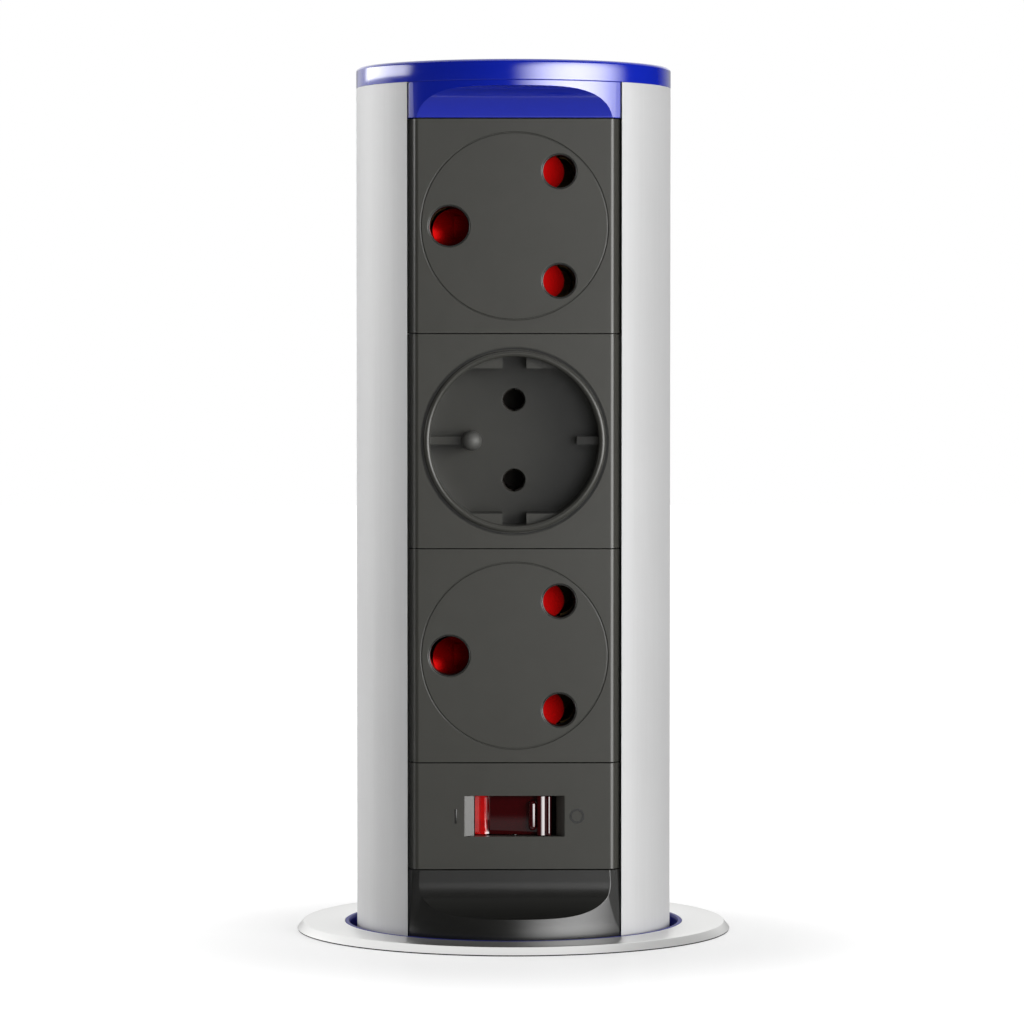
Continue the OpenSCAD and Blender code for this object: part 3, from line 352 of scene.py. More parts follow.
def noise(tree, vector, scale, detail=2.0, roughness=0.5):
    node = tree.nodes.new("ShaderNodeTexNoise")
    link(tree, vector, node.inputs["Vector"])
    put(tree, scale, node.inputs["Scale"])
    node.inputs["Detail"].default_value = detail
    node.inputs["Roughness"].default_value = roughness
    return node.outputs["Fac"]


def tinted(tree, colour, factor):
    """Colour times a grey factor."""
    node = tree.nodes.new("ShaderNodeVectorMath")
    node.operation = "SCALE"
    link(tree, colour, node.inputs[0])
    link(tree, factor, node.inputs["Scale"])
    return node.outputs[0]


surface_outputs = [
    ("Colour", "NodeSocketColor"),
    ("Roughness", "NodeSocketFloat"),
    ("Height", "NodeSocketFloat"),
]


def lines_group(name, weights):
    """Machining lines, which run along the direction with the least weight of three: the turn
    round the axis, the distance from it and the height."""
    tree, given, result = new_group(
        name,
        [
            ("Colour", "NodeSocketColor", (0.8, 0.8, 0.8, 1)),
            ("Roughness", "NodeSocketFloat", 0.3),
            ("Depth", "NodeSocketFloat", 0.5),
        ],
        surface_outputs,
    )
    place = place_node(tree)
    x, y, z = split(tree, place)
    radius = math_node(tree, "SQRT", add(tree, times(tree, x, x), times(tree, y, y)))
    # The turn is folded, so that the lines meet where it jumps from -pi to pi.
    turn = math_node(tree, "ABSOLUTE", math_node(tree, "ARCTAN2", y, x))
    spread = tree.nodes.new("ShaderNodeCombineXYZ")
    for socket, value, weight in zip(spread.inputs, (turn, radius, z), weights):
        link(tree, times(tree, value, weight), socket)
    fine = noise(tree, spread.outputs[0], 9000.0, 3.0, 0.7)
    broad = noise(tree, spread.outputs[0], 1400.0)
    both = add(tree, times(tree, fine, 0.6), times(tree, broad, 0.4))
    centred = times(tree, minus(tree, both, 0.5), given["Depth"])
    cloud = times(tree, minus(tree, noise(tree, place, 30.0), 0.5), 0.06)
    shade = add(tree, 1.0, add(tree, times(tree, centred, 0.5), cloud))
    link(tree, tinted(tree, given["Colour"], shade), result["Colour"])
    rough_change = add(tree, times(tree, centred, 0.4), cloud)
    rough = add(tree, given["Roughness"], rough_change, clamp=True)
    link(tree, rough, result["Roughness"])
    link(tree, both, result["Height"])
    return tree


def group_node(tree, group, **values):
    node = tree.nodes.new("ShaderNodeGroup")
    node.node_tree = group
    for label, value in values.items():
        socket = node.inputs[label]
        if isinstance(value, tuple):
            socket.default_value = (*value, 1)
        else:
            socket.default_value = value
    return node


def bump(tree, height, distance):
    node = tree.nodes.new("ShaderNodeBump")
    node.inputs["Distance"].default_value = distance
    link(tree, height, node.inputs["Height"])
    return node.outputs[0]


def finish_from(name, group, bump_distance, sockets=None, **values):
    """Principled material whose colour, roughness and bump come from one surface group."""
    material, tree, output = new_material(name)
    surface = group_node(tree, group, **values)
    body = tree.nodes.new("ShaderNodeBsdfPrincipled")
    link(tree, surface.outputs["Colour"], body.inputs["Base Color"])
    link(tree, surface.outputs["Roughness"], body.inputs["Roughness"])
    link(tree, bump(tree, surface.outputs["Height"], bump_distance), body.inputs["Normal"])
    for label, value in (sockets or {}).items():
        body.inputs[label].default_value = value
    link(tree, body.outputs[0], output.inputs["Surface"])
    return material


turned_lines = lines_group("turned_lines", (0.004, 1.0, 1.0))
brushed_collar = finish_from(
    "brushed_collar", turned_lines, 0.0000015, {"Metallic": 1.0},
    Colour=(0.80, 0.80, 0.79), Roughness=0.33, Depth=0.1,
)
liner_r, flange_r, flange_t, bevel, lip_cut = 40.35, 51.8, 2.0, 1.35, 0.6
rim_groove_r, rim_groove_t, gasket_in_r, gasket_out_r, gasket_groove_t = 45.5, 1.0, 46.3, 50.0, 0.6
lip_t, gap = 0.3, 0.05
flange = lathe(
    "flange_ring_turned",
    [
        (liner_r + gap, rim_groove_t, 0),
        (liner_r + gap, flange_t, 0.25),
        (flange_r - bevel, flange_t, 0.3),
        (flange_r, lip_t, 0),
        (flange_r - lip_cut, lip_t, 0),
        (flange_r - lip_cut, 0, 0),
        (gasket_out_r, 0, 0),
        (gasket_out_r, gasket_groove_t, 0),
        (gasket_in_r, gasket_groove_t, 0),
        (gasket_in_r, 0, 0),
        (rim_groove_r, 0, 0),
        (rim_groove_r, rim_groove_t, 0),
    ],
    brushed_collar,
)
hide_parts("flange_ring")
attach(flange, "collar")


# Gasket: a flat black rubber ring glued into the flange's underside, which grips the desk.
# The gland's seal under the foot is of the same rubber.
def grain_group():
    """Fine moulding grain with broad, faint changes of tone."""
    tree, given, result = new_group(
        "moulded_grain",
        [
            ("Colour", "NodeSocketColor", (0.1, 0.1, 0.1, 1)),
            ("Roughness", "NodeSocketFloat", 0.5),
            ("Grain", "NodeSocketFloat", 4500.0),
            ("Mottle", "NodeSocketFloat", 0.1),
        ],
        surface_outputs,
    )
    place = place_node(tree)
    specks = tree.nodes.new("ShaderNodeTexVoronoi")
    link(tree, place, specks.inputs["Vector"])
    link(tree, given["Grain"], specks.inputs["Scale"])
    soft_specks = noise(tree, place, given["Grain"])
    height = add(
        tree, times(tree, specks.outputs["Distance"], 0.5), times(tree, soft_specks, 0.5)
    )
    broad = times(tree, noise(tree, place, 28.0, 3.0), 0.6)
    clouds = add(tree, broad, times(tree, noise(tree, place, 260.0), 0.4))
    centred = times(tree, minus(tree, clouds, 0.5), given["Mottle"])
    fine = times(tree, times(tree, minus(tree, height, 0.5), given["Mottle"]), 0.6)
    shade = add(tree, 1.0, add(tree, centred, fine))
    link(tree, tinted(tree, given["Colour"], shade), result["Colour"])
    rough = add(tree, given["Roughness"], times(tree, centred, 0.8), clamp=True)
    link(tree, rough, result["Roughness"])
    link(tree, height, result["Height"])
    return tree


moulded_grain = grain_group()
black_rubber = finish_from(
    "black_rubber", moulded_grain, 0.00005, {"Specular IOR Level": 0.3},
    Colour=(0.012, 0.012, 0.012), Roughness=0.75, Grain=2600.0, Mottle=0.4,
)


def shape_group(name):
    """Empty geometry nodes, with the shape that they get and the socket for the one they make."""
    tree = bpy.data.node_groups.new(name, "GeometryNodeTree")
    for way in ("INPUT", "OUTPUT"):
        tree.interface.new_socket("Geometry", in_out=way, socket_type="NodeSocketGeometry")
    start = tree.nodes.new("NodeGroupInput")
    end = tree.nodes.new("NodeGroupOutput")
    return tree, start.outputs[0], end.inputs[0]


def joining_group():
    """Joins the corners of a solid's faces, which the CAD file keeps apart."""
    tree, shape, result = shape_group("join_corners")
    bare = tree.nodes.new("GeometryNodeRemoveAttribute")
    bare.inputs["Name"].default_value = "custom_normal"
    link(tree, shape, bare.inputs["Geometry"])
    joined = tree.nodes.new("GeometryNodeMergeByDistance")
    joined.inputs["Distance"].default_value = 2e-6
    link(tree, bare.outputs[0], joined.inputs["Geometry"])
    link(tree, joined.outputs[0], result)
    return tree


def smoothing_group():
    """Smooths a solid's faces and keeps its edges over 30 degrees sharp."""
    tree, shape, result = shape_group("keep_edges")
    faces = tree.nodes.new("GeometryNodeSetShadeSmooth")
    faces.domain = "FACE"
    link(tree, shape, faces.inputs["Geometry"])
    angle = tree.nodes.new("GeometryNodeInputMeshEdgeAngle")
    bend = math_node(tree, "GREATER_THAN", angle.outputs["Unsigned Angle"], math.radians(30))
    edges = tree.nodes.new("GeometryNodeSetShadeSmooth")
    edges.domain = "EDGE"
    edges.inputs["Shade Smooth"].default_value = False
    link(tree, faces.outputs[0], edges.inputs["Geometry"])
    link(tree, bend, edges.inputs["Selection"])
    link(tree, edges.outputs[0], result)
    return tree


join_corners = joining_group()
keep_edges = smoothing_group()


def dress(names, finish, edge=0.12, edge_segments=2):
    """Gives CAD solids a finish and softly rounded edges, without touching their meshes."""
    for name in names:
        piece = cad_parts[name]
        if not piece.material_slots:
            piece.data.materials.append(finish)
        for slot in piece.material_slots:
            slot.link = "OBJECT"
            slot.material = finish
        joined = piece.modifiers.new("join", "NODES")
        joined.node_group = join_corners
        flat = piece.modifiers.new("flat", "DECIMATE")
        flat.decimate_type = "DISSOLVE"
        flat.angle_limit = math.radians(0.5)
        if edge:
            soft = piece.modifiers.new("edge", "BEVEL")
            soft.width = edge * MM
            soft.segments = edge_segments
            soft.limit_method = "ANGLE"
            soft.angle_limit = math.radians(35)
            soft.harden_normals = False
            soft.miter_outer = "MITER_ARC"
        smooth = piece.modifiers.new("smooth", "NODES")
        smooth.node_group = keep_edges
        even = piece.modifiers.new("even", "WEIGHTED_NORMAL")
        even.keep_sharp = True
        even.weight = 50


dress(["flange_gasket", "gland_seal"], black_rubber, 0.1)


# Gasket lip: a thin black rubber ring under the flange's rim. It is a dark sheet that paints the
# contact shadow between flange and desk as a dark line. It lies flat between metal and desk and
# rides the collar with the flange.
lip_in_r, lip_out_r, lip_low, lip_high = flange_r - 0.58, flange_r - 0.12, 0.02, 0.29
lip = lathe(
    "painted_shadow_lip",
    [
        (lip_in_r, lip_low, 0),
        (lip_out_r, lip_low, 0),
        (lip_out_r, lip_high, 0),
        (lip_in_r, lip_high, 0),
    ],
    black_rubber,
)
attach(lip, "collar")


# Liner: a blue see-through plastic ring pressed into the flange, which guides the column.
# Only its thin top edge and the start of its bore are seen.
def scratch_group():
    """Fine hairline marks in three directions, as a mask from 0 to 1."""
    tree, given, result = new_group(
        "hairlines",
        [("Scale", "NodeSocketFloat", 60.0), ("Amount", "NodeSocketFloat", 0.3)],
        [("Mask", "NodeSocketFloat")],
    )
    place = place_node(tree)
    total = None
    for angles in ((0.3, 0.5, 0.2), (1.1, -0.4, 0.9), (-0.7, 0.2, 1.7)):
        turned = tree.nodes.new("ShaderNodeMapping")
        turned.inputs["Rotation"].default_value = angles
        turned.inputs["Scale"].default_value = (1.0, 28.0, 28.0)
        link(tree, place, turned.inputs["Vector"])
        lines = noise(tree, turned.outputs[0], given["Scale"], 1.0)
        thin = map_range(tree, lines, 0.66, 0.72)
        total = thin if total is None else math_node(tree, "MAXIMUM", total, thin)
    patches = map_range(tree, noise(tree, place, 22.0), 0.5, 0.75)
    total = times(tree, total, patches)
    link(tree, times(tree, total, given["Amount"], clamp=True), result["Mask"])
    return tree


hairlines = scratch_group()


def blue_plastic(name, colour, roughness, sockets):
    """Polished dyed plastic with hairlines that dull it here and there."""
    material, tree, output = new_material(name)
    surface = group_node(
        tree, moulded_grain, Colour=colour, Roughness=roughness, Grain=900.0, Mottle=0.12
    )
    marks = group_node(tree, hairlines, Scale=70.0, Amount=0.12)
    body = tree.nodes.new("ShaderNodeBsdfPrincipled")
    link(tree, surface.outputs["Colour"], body.inputs["Base Color"])
    rough = add(tree, surface.outputs["Roughness"], marks.outputs["Mask"], clamp=True)
    link(tree, rough, body.inputs["Roughness"])
    link(tree, bump(tree, surface.outputs["Height"], 0.000004), body.inputs["Normal"])
    for label, value in sockets.items():
        body.inputs[label].default_value = value
    link(tree, body.outputs[0], output.inputs["Surface"])
    return material


blue_liner = blue_plastic(
    "blue_liner", (0.010, 0.014, 0.22), 0.36, {"IOR": 1.3, "Specular IOR Level": 0.2},
)
liner_land, liner_step, bore_r, liner_below = 0.8, 0.3, 37.9, 6.0
liner = lathe(
    "liner_ring_moulded",
    [
        (liner_r, -liner_below, 0),
        (liner_r, flange_t, 0.12),
        (liner_r - liner_land, flange_t, 0.2),
        (liner_r - liner_land - liner_step, flange_t - 0.6, 0.2),
        (liner_r - liner_land - liner_step, -2, 0.3),
        (bore_r, -3, 0.3),
        (bore_r, -liner_below, 0.3),
    ],
    blue_liner,
)
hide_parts("liner_ring")
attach(liner, "collar")


# Sleeve: a black moulded tube with a coarse thread outside, hung from the flange by its rim.
# A key inside it runs in the column's keyway.
black_plastic = finish_from(
    "black_plastic", moulded_grain, 0.00003, {"Specular IOR Level": 0.45},
    Colour=(0.018, 0.018, 0.019), Roughness=0.5, Grain=3200.0, Mottle=0.35,
)


def threaded_tube(crest_r, root_r, inner_r, low, high, pitch, turns=144):
    """Tube with a round of thread outside; each column of points follows the thread's rise.
    At its low end the thread starts from nothing, over the length of the lead."""
    steps = ((0.0, root_r), (0.22, root_r), (0.40, crest_r), (0.82, crest_r))

    def radius_at(phase):
        phase %= 1.0
        for (a, ra), (b, rb) in zip(steps, steps[1:] + ((1.0, root_r),)):
            if phase <= b:
                return ra + (rb - ra) * (phase - a) / (b - a)
        return root_r

    lead, start_below = 1.6, 0.4
    rounds = int((high - low) / pitch) + 3
    rows = []
    for k in range(rounds):
        rows += [k + share for share, _ in steps]
    points, faces = [], []
    for i in range(turns + 1):
        turn = i / turns
        for row in rows:
            z = low + pitch * (row + turn - 2)
            z = min(max(z, low), high)
            r = radius_at((z - low) / pitch - turn)
            near_end = min(max((z - low) / lead, 0.0), 1.0)
            r = min(r, root_r - start_below + (crest_r - root_r + start_below) * near_end)
            angle = 2 * math.pi * turn
            points.append((r * math.cos(angle), r * math.sin(angle), z))
    count = len(rows)
    for i in range(turns):
        for k in range(count - 1):
            a = i * count + k
            faces.append((a, a + count, a + count + 1, a + 1))
    outside = len(points)
    for i in range(turns + 1):
        for z in (low, high):
            points.append((*on_circle(inner_r, i, turns), z))
    for i in range(turns):
        a = outside + 2 * i
        faces.append((a, a + 1, a + 3, a + 2))
        faces.append((i * count, a, a + 2, (i + 1) * count))
        faces.append((i * count + count - 1, (i + 1) * count + count - 1, a + 3, a + 1))
    return points, faces


sleeve_r, sleeve_bore_r, sleeve_l, pitch, thread_deep = 43.5, 38.6, 62.0, 4.0, 1.1
tube_points, tube_faces = threaded_tube(
    sleeve_r, sleeve_r - thread_deep, sleeve_bore_r, -sleeve_l, -liner_below, pitch
)
sleeve = mesh_piece("threaded_sleeve_moulded", tube_points, tube_faces, black_plastic, 25.0)
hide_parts("threaded_sleeve")
sleeve_rim = lathe(
    "threaded_sleeve_rim",
    [
        (liner_r + gap, -liner_below, 0),
        (sleeve_r, -liner_below, 0),
        (sleeve_r, 0, 0),
        (rim_groove_r - gap, 0, 0.15),
        (rim_groove_r - gap, rim_groove_t, 0.15),
        (liner_r + gap, rim_groove_t, 0),
    ],
    black_plastic,
)


def box_piece(name, low, high, finish, edge=0.1):
    """Block between two corners in millimetres, with its edges rounded in the mesh."""
    shape = bmesh.new()
    bmesh.ops.create_cube(shape, size=1.0)
    for vert in shape.verts:
        for axis in range(3):
            vert.co[axis] = MM * (low[axis] if vert.co[axis] < 0 else high[axis])
    bmesh.ops.bevel(
        shape, geom=list(shape.edges), offset=edge * MM, segments=2, profile=0.5,
        affect="EDGES", clamp_overlap=True,
    )
    mesh = bpy.data.meshes.new(name)
    shape.to_mesh(mesh)
    shape.free()
    return placed(name, mesh, finish)


key_w, key_in, key_sunk, key_top = 4.2, 36.9, 0.5, -6.3
guide_key = box_piece(
    "threaded_sleeve_key", (-key_w / 2, key_in, -sleeve_l),
    (key_w / 2, sleeve_bore_r + key_sunk, key_top), black_plastic,
)
for part in (sleeve, sleeve_rim, guide_key):
    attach(part, "collar")


# Friction pads: three strips of grey felt glued inside the sleeve.
# They rub on the column and hold it at any height.
def felt_finish():
    material, tree, output = new_material("grey_felt")
    surface = group_node(
        tree, moulded_grain, Colour=(0.05, 0.05, 0.054), Roughness=0.9, Grain=1700.0, Mottle=0.6
    )
    body = tree.nodes.new("ShaderNodeBsdfPrincipled")
    fibres = noise(tree, place_node(tree), 5200.0, 4.0, 0.7)
    shade = add(tree, times(tree, fibres, 0.8), 0.6)
    link(tree, tinted(tree, surface.outputs["Colour"], shade), body.inputs["Base Color"])
    link(tree, surface.outputs["Roughness"], body.inputs["Roughness"])
    link(tree, bump(tree, fibres, 0.0003), body.inputs["Normal"])
    body.inputs["Sheen Weight"].default_value = 0.5
    body.inputs["Sheen Roughness"].default_value = 0.4
    link(tree, body.outputs[0], output.inputs["Surface"])
    return material


dress(["friction_pads"], felt_finish(), 0.15)


# Clamp washer: a zinc plated steel ring round the sleeve, under the desk.
# The nut below pushes it up, so that the desk is clamped between it and the flange.
zinc_steel = finish_from(
    "zinc_steel", turned_lines, 0.00001, {"Metallic": 1.0},
    Colour=(0.55, 0.56, 0.58), Roughness=0.34, Depth=0.35,
)
dress(["clamp_washer"], zinc_steel, 0.2)


# Clamp nut: a black moulded ring nut with finger hollows round it.
# It is tightened by hand on the sleeve's thread.
dress(["clamp_nut"], black_plastic, 0.4, 3)


# Column: an extruded aluminium tube, open down the front and satin anodised, with drawn lines.
# Screw channels, rails and a keyway are part of the extrusion.
drawn_lines = lines_group("drawn_lines", (0.037, 1.0, 0.012))
anodised_aluminium = finish_from(
    "anodised_aluminium", drawn_lines, 0.00001, {"Metallic": 0.2},
    Colour=(0.47, 0.47, 0.472), Roughness=0.48, Depth=0.35,
)
dress(["column_profile"], anodised_aluminium, 0.1)


# Foot: a black moulded plate screwed into the column's lower end, wider than the sleeve's bore,
# so that the column can't be pulled out. The cable gland is screwed into it.
dress(["foot_plate", "gland_body", "gland_locknut", "gland_cap"], black_plastic, 0.2)


# Screws: zinc plated steel pan heads in both ends of the column and in the rear covers.
# They hold the cap's plate, the foot and the modules.
screw_steel = finish_from(
    "screw_steel", turned_lines, 0.000005, {"Metallic": 1.0},
    Colour=(0.62, 0.63, 0.64), Roughness=0.25, Depth=0.2,
)
dress(["cap_screws", "module_screws", "foot_screws"], screw_steel, 0.08)


# Terminal block: a cream moulded block on the foot, with brass clamping screws for the supply.
# The switch's terminals are of the same brass.
cream_plastic = finish_from(
    "cream_plastic", moulded_grain, 0.00003, {},
    Colour=(0.66, 0.62, 0.53), Roughness=0.45, Grain=3000.0, Mottle=0.12,
)
# The brass is painted far darker than bare brass, as the shade deep in the sockets' holes.
contact_brass = finish_from(
    "contact_brass", drawn_lines, 0.000006, {"Metallic": 1.0},
    Colour=(0.10, 0.062, 0.026), Roughness=0.4, Depth=0.5,
)
dress(["terminal_block"], cream_plastic, 0.25)
dress(["terminal_screws", "switch_terminals"], contact_brass, 0.06)


# Bus bars: rolled copper strips down the back, with brass contacts reaching from them into the
# sockets. The brass of the middle socket, which has no shutter, is painted near black, as the
# shade deep in its holes.
bar_copper = finish_from(
    "bar_copper", drawn_lines, 0.000006, {"Metallic": 1.0},
    Colour=(0.72, 0.33, 0.17), Roughness=0.32, Depth=0.6,
)
dress(["line_bar", "neutral_bar", "earth_bar"], bar_copper, 0.08)
dress(
    [
        f"{row}_{pole}_contact"
        for row in ("top", "low")
        for pole in ("line", "neutral", "earth")
    ],
    contact_brass,
    0.0,
)
brass_in_painted_shade = finish_from(
    "brass_in_painted_shade", drawn_lines, 0.000004, {"Metallic": 0.5},
    Colour=(0.011, 0.0075, 0.004), Roughness=0.45, Depth=0.4,
)
dress(["mid_line_contact", "mid_neutral_contact"], brass_in_painted_shade, 0.0)


# Modules: dark grey moulded faces in the slot, one above the other, with fine matt grain.
# Their slanting edges meet the column, and dark hairline seams part them.
dark_grey_plastic = finish_from(
    "dark_grey_plastic", moulded_grain, 0.000012, {"Specular IOR Level": 0.4},
    Colour=(0.042, 0.0415, 0.0365), Roughness=0.24, Grain=5200.0, Mottle=0.12,
)
dress(["top_face", "mid_face", "low_face", "switch_face"], dark_grey_plastic, 0.1)
dress(
    [
        "top_housing", "mid_housing", "low_housing", "top_cover", "mid_cover", "low_cover",
        "switch_body", "switch_cover",
    ],
    black_plastic,
    0.15,
)


# Shutters: metallic red moulded slides behind the round holes, each pushed shut by a coil
# spring. Behind every hole they have a shallow round dish.
top_z, mid_z, low_z = 167.35, 117.35, 67.35
earth_x, live_x, live_up = -15.2, 10.4, 12.7


def dish_group():
    """Height of a round dish behind a hole, the same in the top and the low socket. With Fold at
    1, the dish above the socket's middle is repeated below it."""
    tree, given, result = new_group(
        "round_dish",
        [
            ("Radius", "NodeSocketFloat", 0.0055),
            ("Ball", "NodeSocketFloat", 0.0085),
            ("Across", "NodeSocketFloat", -0.0152),
            ("Above", "NodeSocketFloat", 0.0),
            ("Fold", "NodeSocketFloat", 0.0),
        ],
        [("Height", "NodeSocketFloat")],
    )
    x, _, z = split(tree, place_node(tree))
    across = minus(tree, x, given["Across"])
    rows_apart = (top_z - low_z) * MM
    step = math_node(tree, "MODULO", minus(tree, z, low_z * MM - rows_apart / 2), rows_apart)
    row = minus(tree, step, rows_apart / 2)
    repeated = times(tree, minus(tree, math_node(tree, "ABSOLUTE", row), row), given["Fold"])
    up = minus(tree, add(tree, row, repeated), given["Above"])
    square = add(tree, times(tree, across, across), times(tree, up, up))
    limit = times(tree, given["Radius"], given["Radius"])
    dished = math_node(tree, "MINIMUM", square, limit)
    link(tree, math_node(tree, "DIVIDE", dished, given["Ball"]), result["Height"])
    return tree


red_shutter = finish_from(
    "red_shutter", moulded_grain, 0.00001, {"Specular IOR Level": 0.02, "Metallic": 0.55},
    Colour=(0.22, 0.0006, 0.0006), Roughness=0.27, Grain=2000.0, Mottle=0.15,
)
shutter_tree = red_shutter.node_tree
round_dish = dish_group()
earth_dish = group_node(shutter_tree, round_dish, Across=earth_x * MM, Above=-0.002)
live_dishes = group_node(
    shutter_tree, round_dish,
    Radius=0.0048, Ball=0.04, Across=live_x * MM, Above=live_up * MM, Fold=1.0,
)
dished = shutter_tree.nodes.new("ShaderNodeBump")
dished.inputs["Distance"].default_value = 0.5
dishes = add(shutter_tree, earth_dish.outputs["Height"], live_dishes.outputs["Height"])
link(shutter_tree, dishes, dished.inputs["Height"])
link(shutter_tree, dished.outputs[0], shutter_tree.nodes["Bump"].inputs["Normal"])
dress(["top_shutter", "low_shutter"], red_shutter, 0.12)


# Hole rims: the rounded edges of the pin holes, moulded in one with the faces. Each lines the
# start of its hole. In the two shuttered faces the rims are painted glossy black, as the shade at
# the holes' edges; in the middle one they keep the faces' dark grey.
gloss_black_with_painted_shade = finish_from(
    "gloss_black_with_painted_shade", moulded_grain, 0.000006, {"IOR": 1.6},
    Colour=(0.012, 0.012, 0.011), Roughness=0.25, Grain=5200.0, Mottle=0.12,
)
# Painted shade: its shine is turned down where it faces up, so that upward faces, such as the
# ledge of the finger scoop, look dark.
gloss_tree = gloss_black_with_painted_shade.node_tree
facing = gloss_tree.nodes.new("ShaderNodeTexCoord")
_, _, facing_up = split(gloss_tree, facing.outputs["Normal"])
painted_top_shade = map_range(gloss_tree, facing_up, 0.3, 0.62, 0.5, 0.03)
link(gloss_tree, painted_top_shade, gloss_tree.nodes["Principled BSDF"].inputs["Specular IOR Level"])


def front_ring(name, x, z, profile, finish, turns):
    """Ring that faces the front, from an outline of (radius, y)."""
    points = []
    for i in range(turns):
        for r, y in profile:
            across, up = on_circle(r, i, turns)
            points.append((x + across, y, z + up))
    return mesh_piece(name, points, ring_faces(turns, len(profile)), finish)


def hole_rim(name, x, z, hole_r, finish, rim=0.16, front_y=-29.506, deep=3.9, turns=72):
    inner, turned, back_y = hole_r - rim, 0.2, front_y + deep
    profile = [(hole_r + 0.2, back_y), (hole_r + 0.2, front_y + 0.05), (hole_r + 0.14, front_y)]
    profile += [
        (hole_r + 0.1 - turned * math.sin(a), front_y + turned * (1 - math.cos(a)))
        for a in (math.radians(76) * k / 6 for k in range(7))
    ]
    profile += [(inner, front_y + 0.55 * deep), (inner, back_y)]
    piece = front_ring(name, x, z, profile, finish, turns)
    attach(piece, "column")


earth_r, live_r, pin_hole_r, pin_up = 4.65, 3.85, 2.75, 9.5
for row, row_z in (("top", top_z), ("low", low_z)):
    hole_rim(f"{row}_earth_rim", earth_x, row_z, earth_r, gloss_black_with_painted_shade, 0.2)
    hole_rim(f"{row}_line_rim", live_x, row_z + live_up, live_r, gloss_black_with_painted_shade)
    hole_rim(f"{row}_neutral_rim", live_x, row_z - live_up, live_r, gloss_black_with_painted_shade)
for side, pin_name in ((1, "line"), (-1, "neutral")):
    hole_rim(
        f"mid_{pin_name}_rim", 0, mid_z + pin_up * side, pin_hole_r, dark_grey_plastic,
        rim=0.1, front_y=-12.006, deep=1.4, turns=48,
    )


# Shutter springs: fine steel wire wound into a coil along each shutter's way.
# The shutter squashes it as it slides, and it pushes the shutter back.
spring_steel = finish_from(
    "spring_steel", drawn_lines, 0.000004, {"Metallic": 1.0},
    Colour=(0.60, 0.60, 0.61), Roughness=0.28, Depth=0.3,
)
spring_start, spring_end, spring_y = -5.1, 22.4, -22.5
coil_r, wire_r, coils = 1.7, 0.3, 12


def coil(name, height):
    """Wire on a helix of even pitch, cut off square at both ends."""
    steps, sides = coils * 32, 10
    length = spring_end - spring_start - 2 * wire_r
    points = []
    for i in range(steps + 1):
        share = i / steps
        turn = 2 * math.pi * coils * share
        centre = Vector((
            spring_start + wire_r + length * share,
            spring_y + coil_r * math.cos(turn),
            height + coil_r * math.sin(turn),
        ))
        out = Vector((0, math.cos(turn), math.sin(turn)))
        along = Vector((
            length / (2 * math.pi * coils), -coil_r * math.sin(turn), coil_r * math.cos(turn)
        )).normalized()
        side = along.cross(out)
        for k in range(sides):
            angle = 2 * math.pi * k / sides
            points.append(centre + wire_r * (math.cos(angle) * out + math.sin(angle) * side))
    faces = ring_faces(steps + 1, sides, closed=False)
    faces += [tuple(range(sides)), tuple(steps * sides + k for k in reversed(range(sides)))]
    return mesh_piece(name, points, faces, spring_steel, 40.0)


for row, height in (("top", top_z), ("low", low_z)):
    wire = coil(f"{row}_shutter_spring_wire", height)
    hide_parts(f"{row}_shutter_spring")
    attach(wire, "column")
    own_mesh(wire)


# Recess gap: the thin black joint line between the middle face and the recess, which is a
# moulding of its own pressed into the face.
gap_in_r, gap_out_r, gap_front, gap_back = 21.5, 21.7, -29.51, -29.45
gap_line = front_ring(
    "recess_gap", 0, mid_z,
    [(gap_in_r, gap_back), (gap_in_r, gap_front), (gap_out_r, gap_front), (gap_out_r, gap_back)],
    black_rubber, 96,
)
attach(gap_line, "column")


# Earth pin: a dark nickel plated pin with a domed end.
# It is riveted into the recess of the middle socket.
dark_pin = finish_from(
    "dark_pin", drawn_lines, 0.000004, {"Metallic": 0.2},
    Colour=(0.075, 0.075, 0.07), Roughness=0.6, Depth=0.3,
)
dress(["mid_earth_pin"], dark_pin, 0.05)


# Rocker: a red moulded lever on two pivot pins, see-through at its left end. There two small
# ribs have a painted glow, standing in for a neon lamp's light behind them. Its right half rises
# to a rounded ridge with a short bar before it.
def painted_glow_group():
    """Painted glow: colour and emission that grow brighter near a given place along X, standing in
    for a lamp's light spreading through a clear moulding.
    """
    tree, given, result = new_group(
        "painted_lamp_glow",
        [
            ("Place", "NodeSocketFloat", -0.008),
            ("Reach", "NodeSocketFloat", 0.002),
            ("Dark", "NodeSocketColor", (0.02, 0, 0, 1)),
            ("Lit", "NodeSocketColor", (1, 0, 0, 1)),
        ],
        [("Colour", "NodeSocketColor"), ("Glow", "NodeSocketColor")],
    )
    place = place_node(tree)
    x, _, _ = split(tree, place)
    apart = minus(tree, x, given["Place"])
    near = math_node(tree, "DIVIDE", math_node(tree, "ABSOLUTE", apart), given["Reach"])
    share = map_range(tree, near, 0.45, 1.0, 1.0, 0.0)
    cloud = add(tree, times(tree, noise(tree, place, 700.0), 0.5), 0.6)
    share = times(tree, share, cloud, clamp=True)
    mix = tree.nodes.new("ShaderNodeMix")
    mix.data_type = "RGBA"
    link(tree, share, mix.inputs["Factor"])
    link(tree, given["Dark"], mix.inputs["A"])
    link(tree, given["Lit"], mix.inputs["B"])
    link(tree, mix.outputs["Result"], result["Colour"])
    link(tree, tinted(tree, given["Lit"], share), result["Glow"])
    return tree


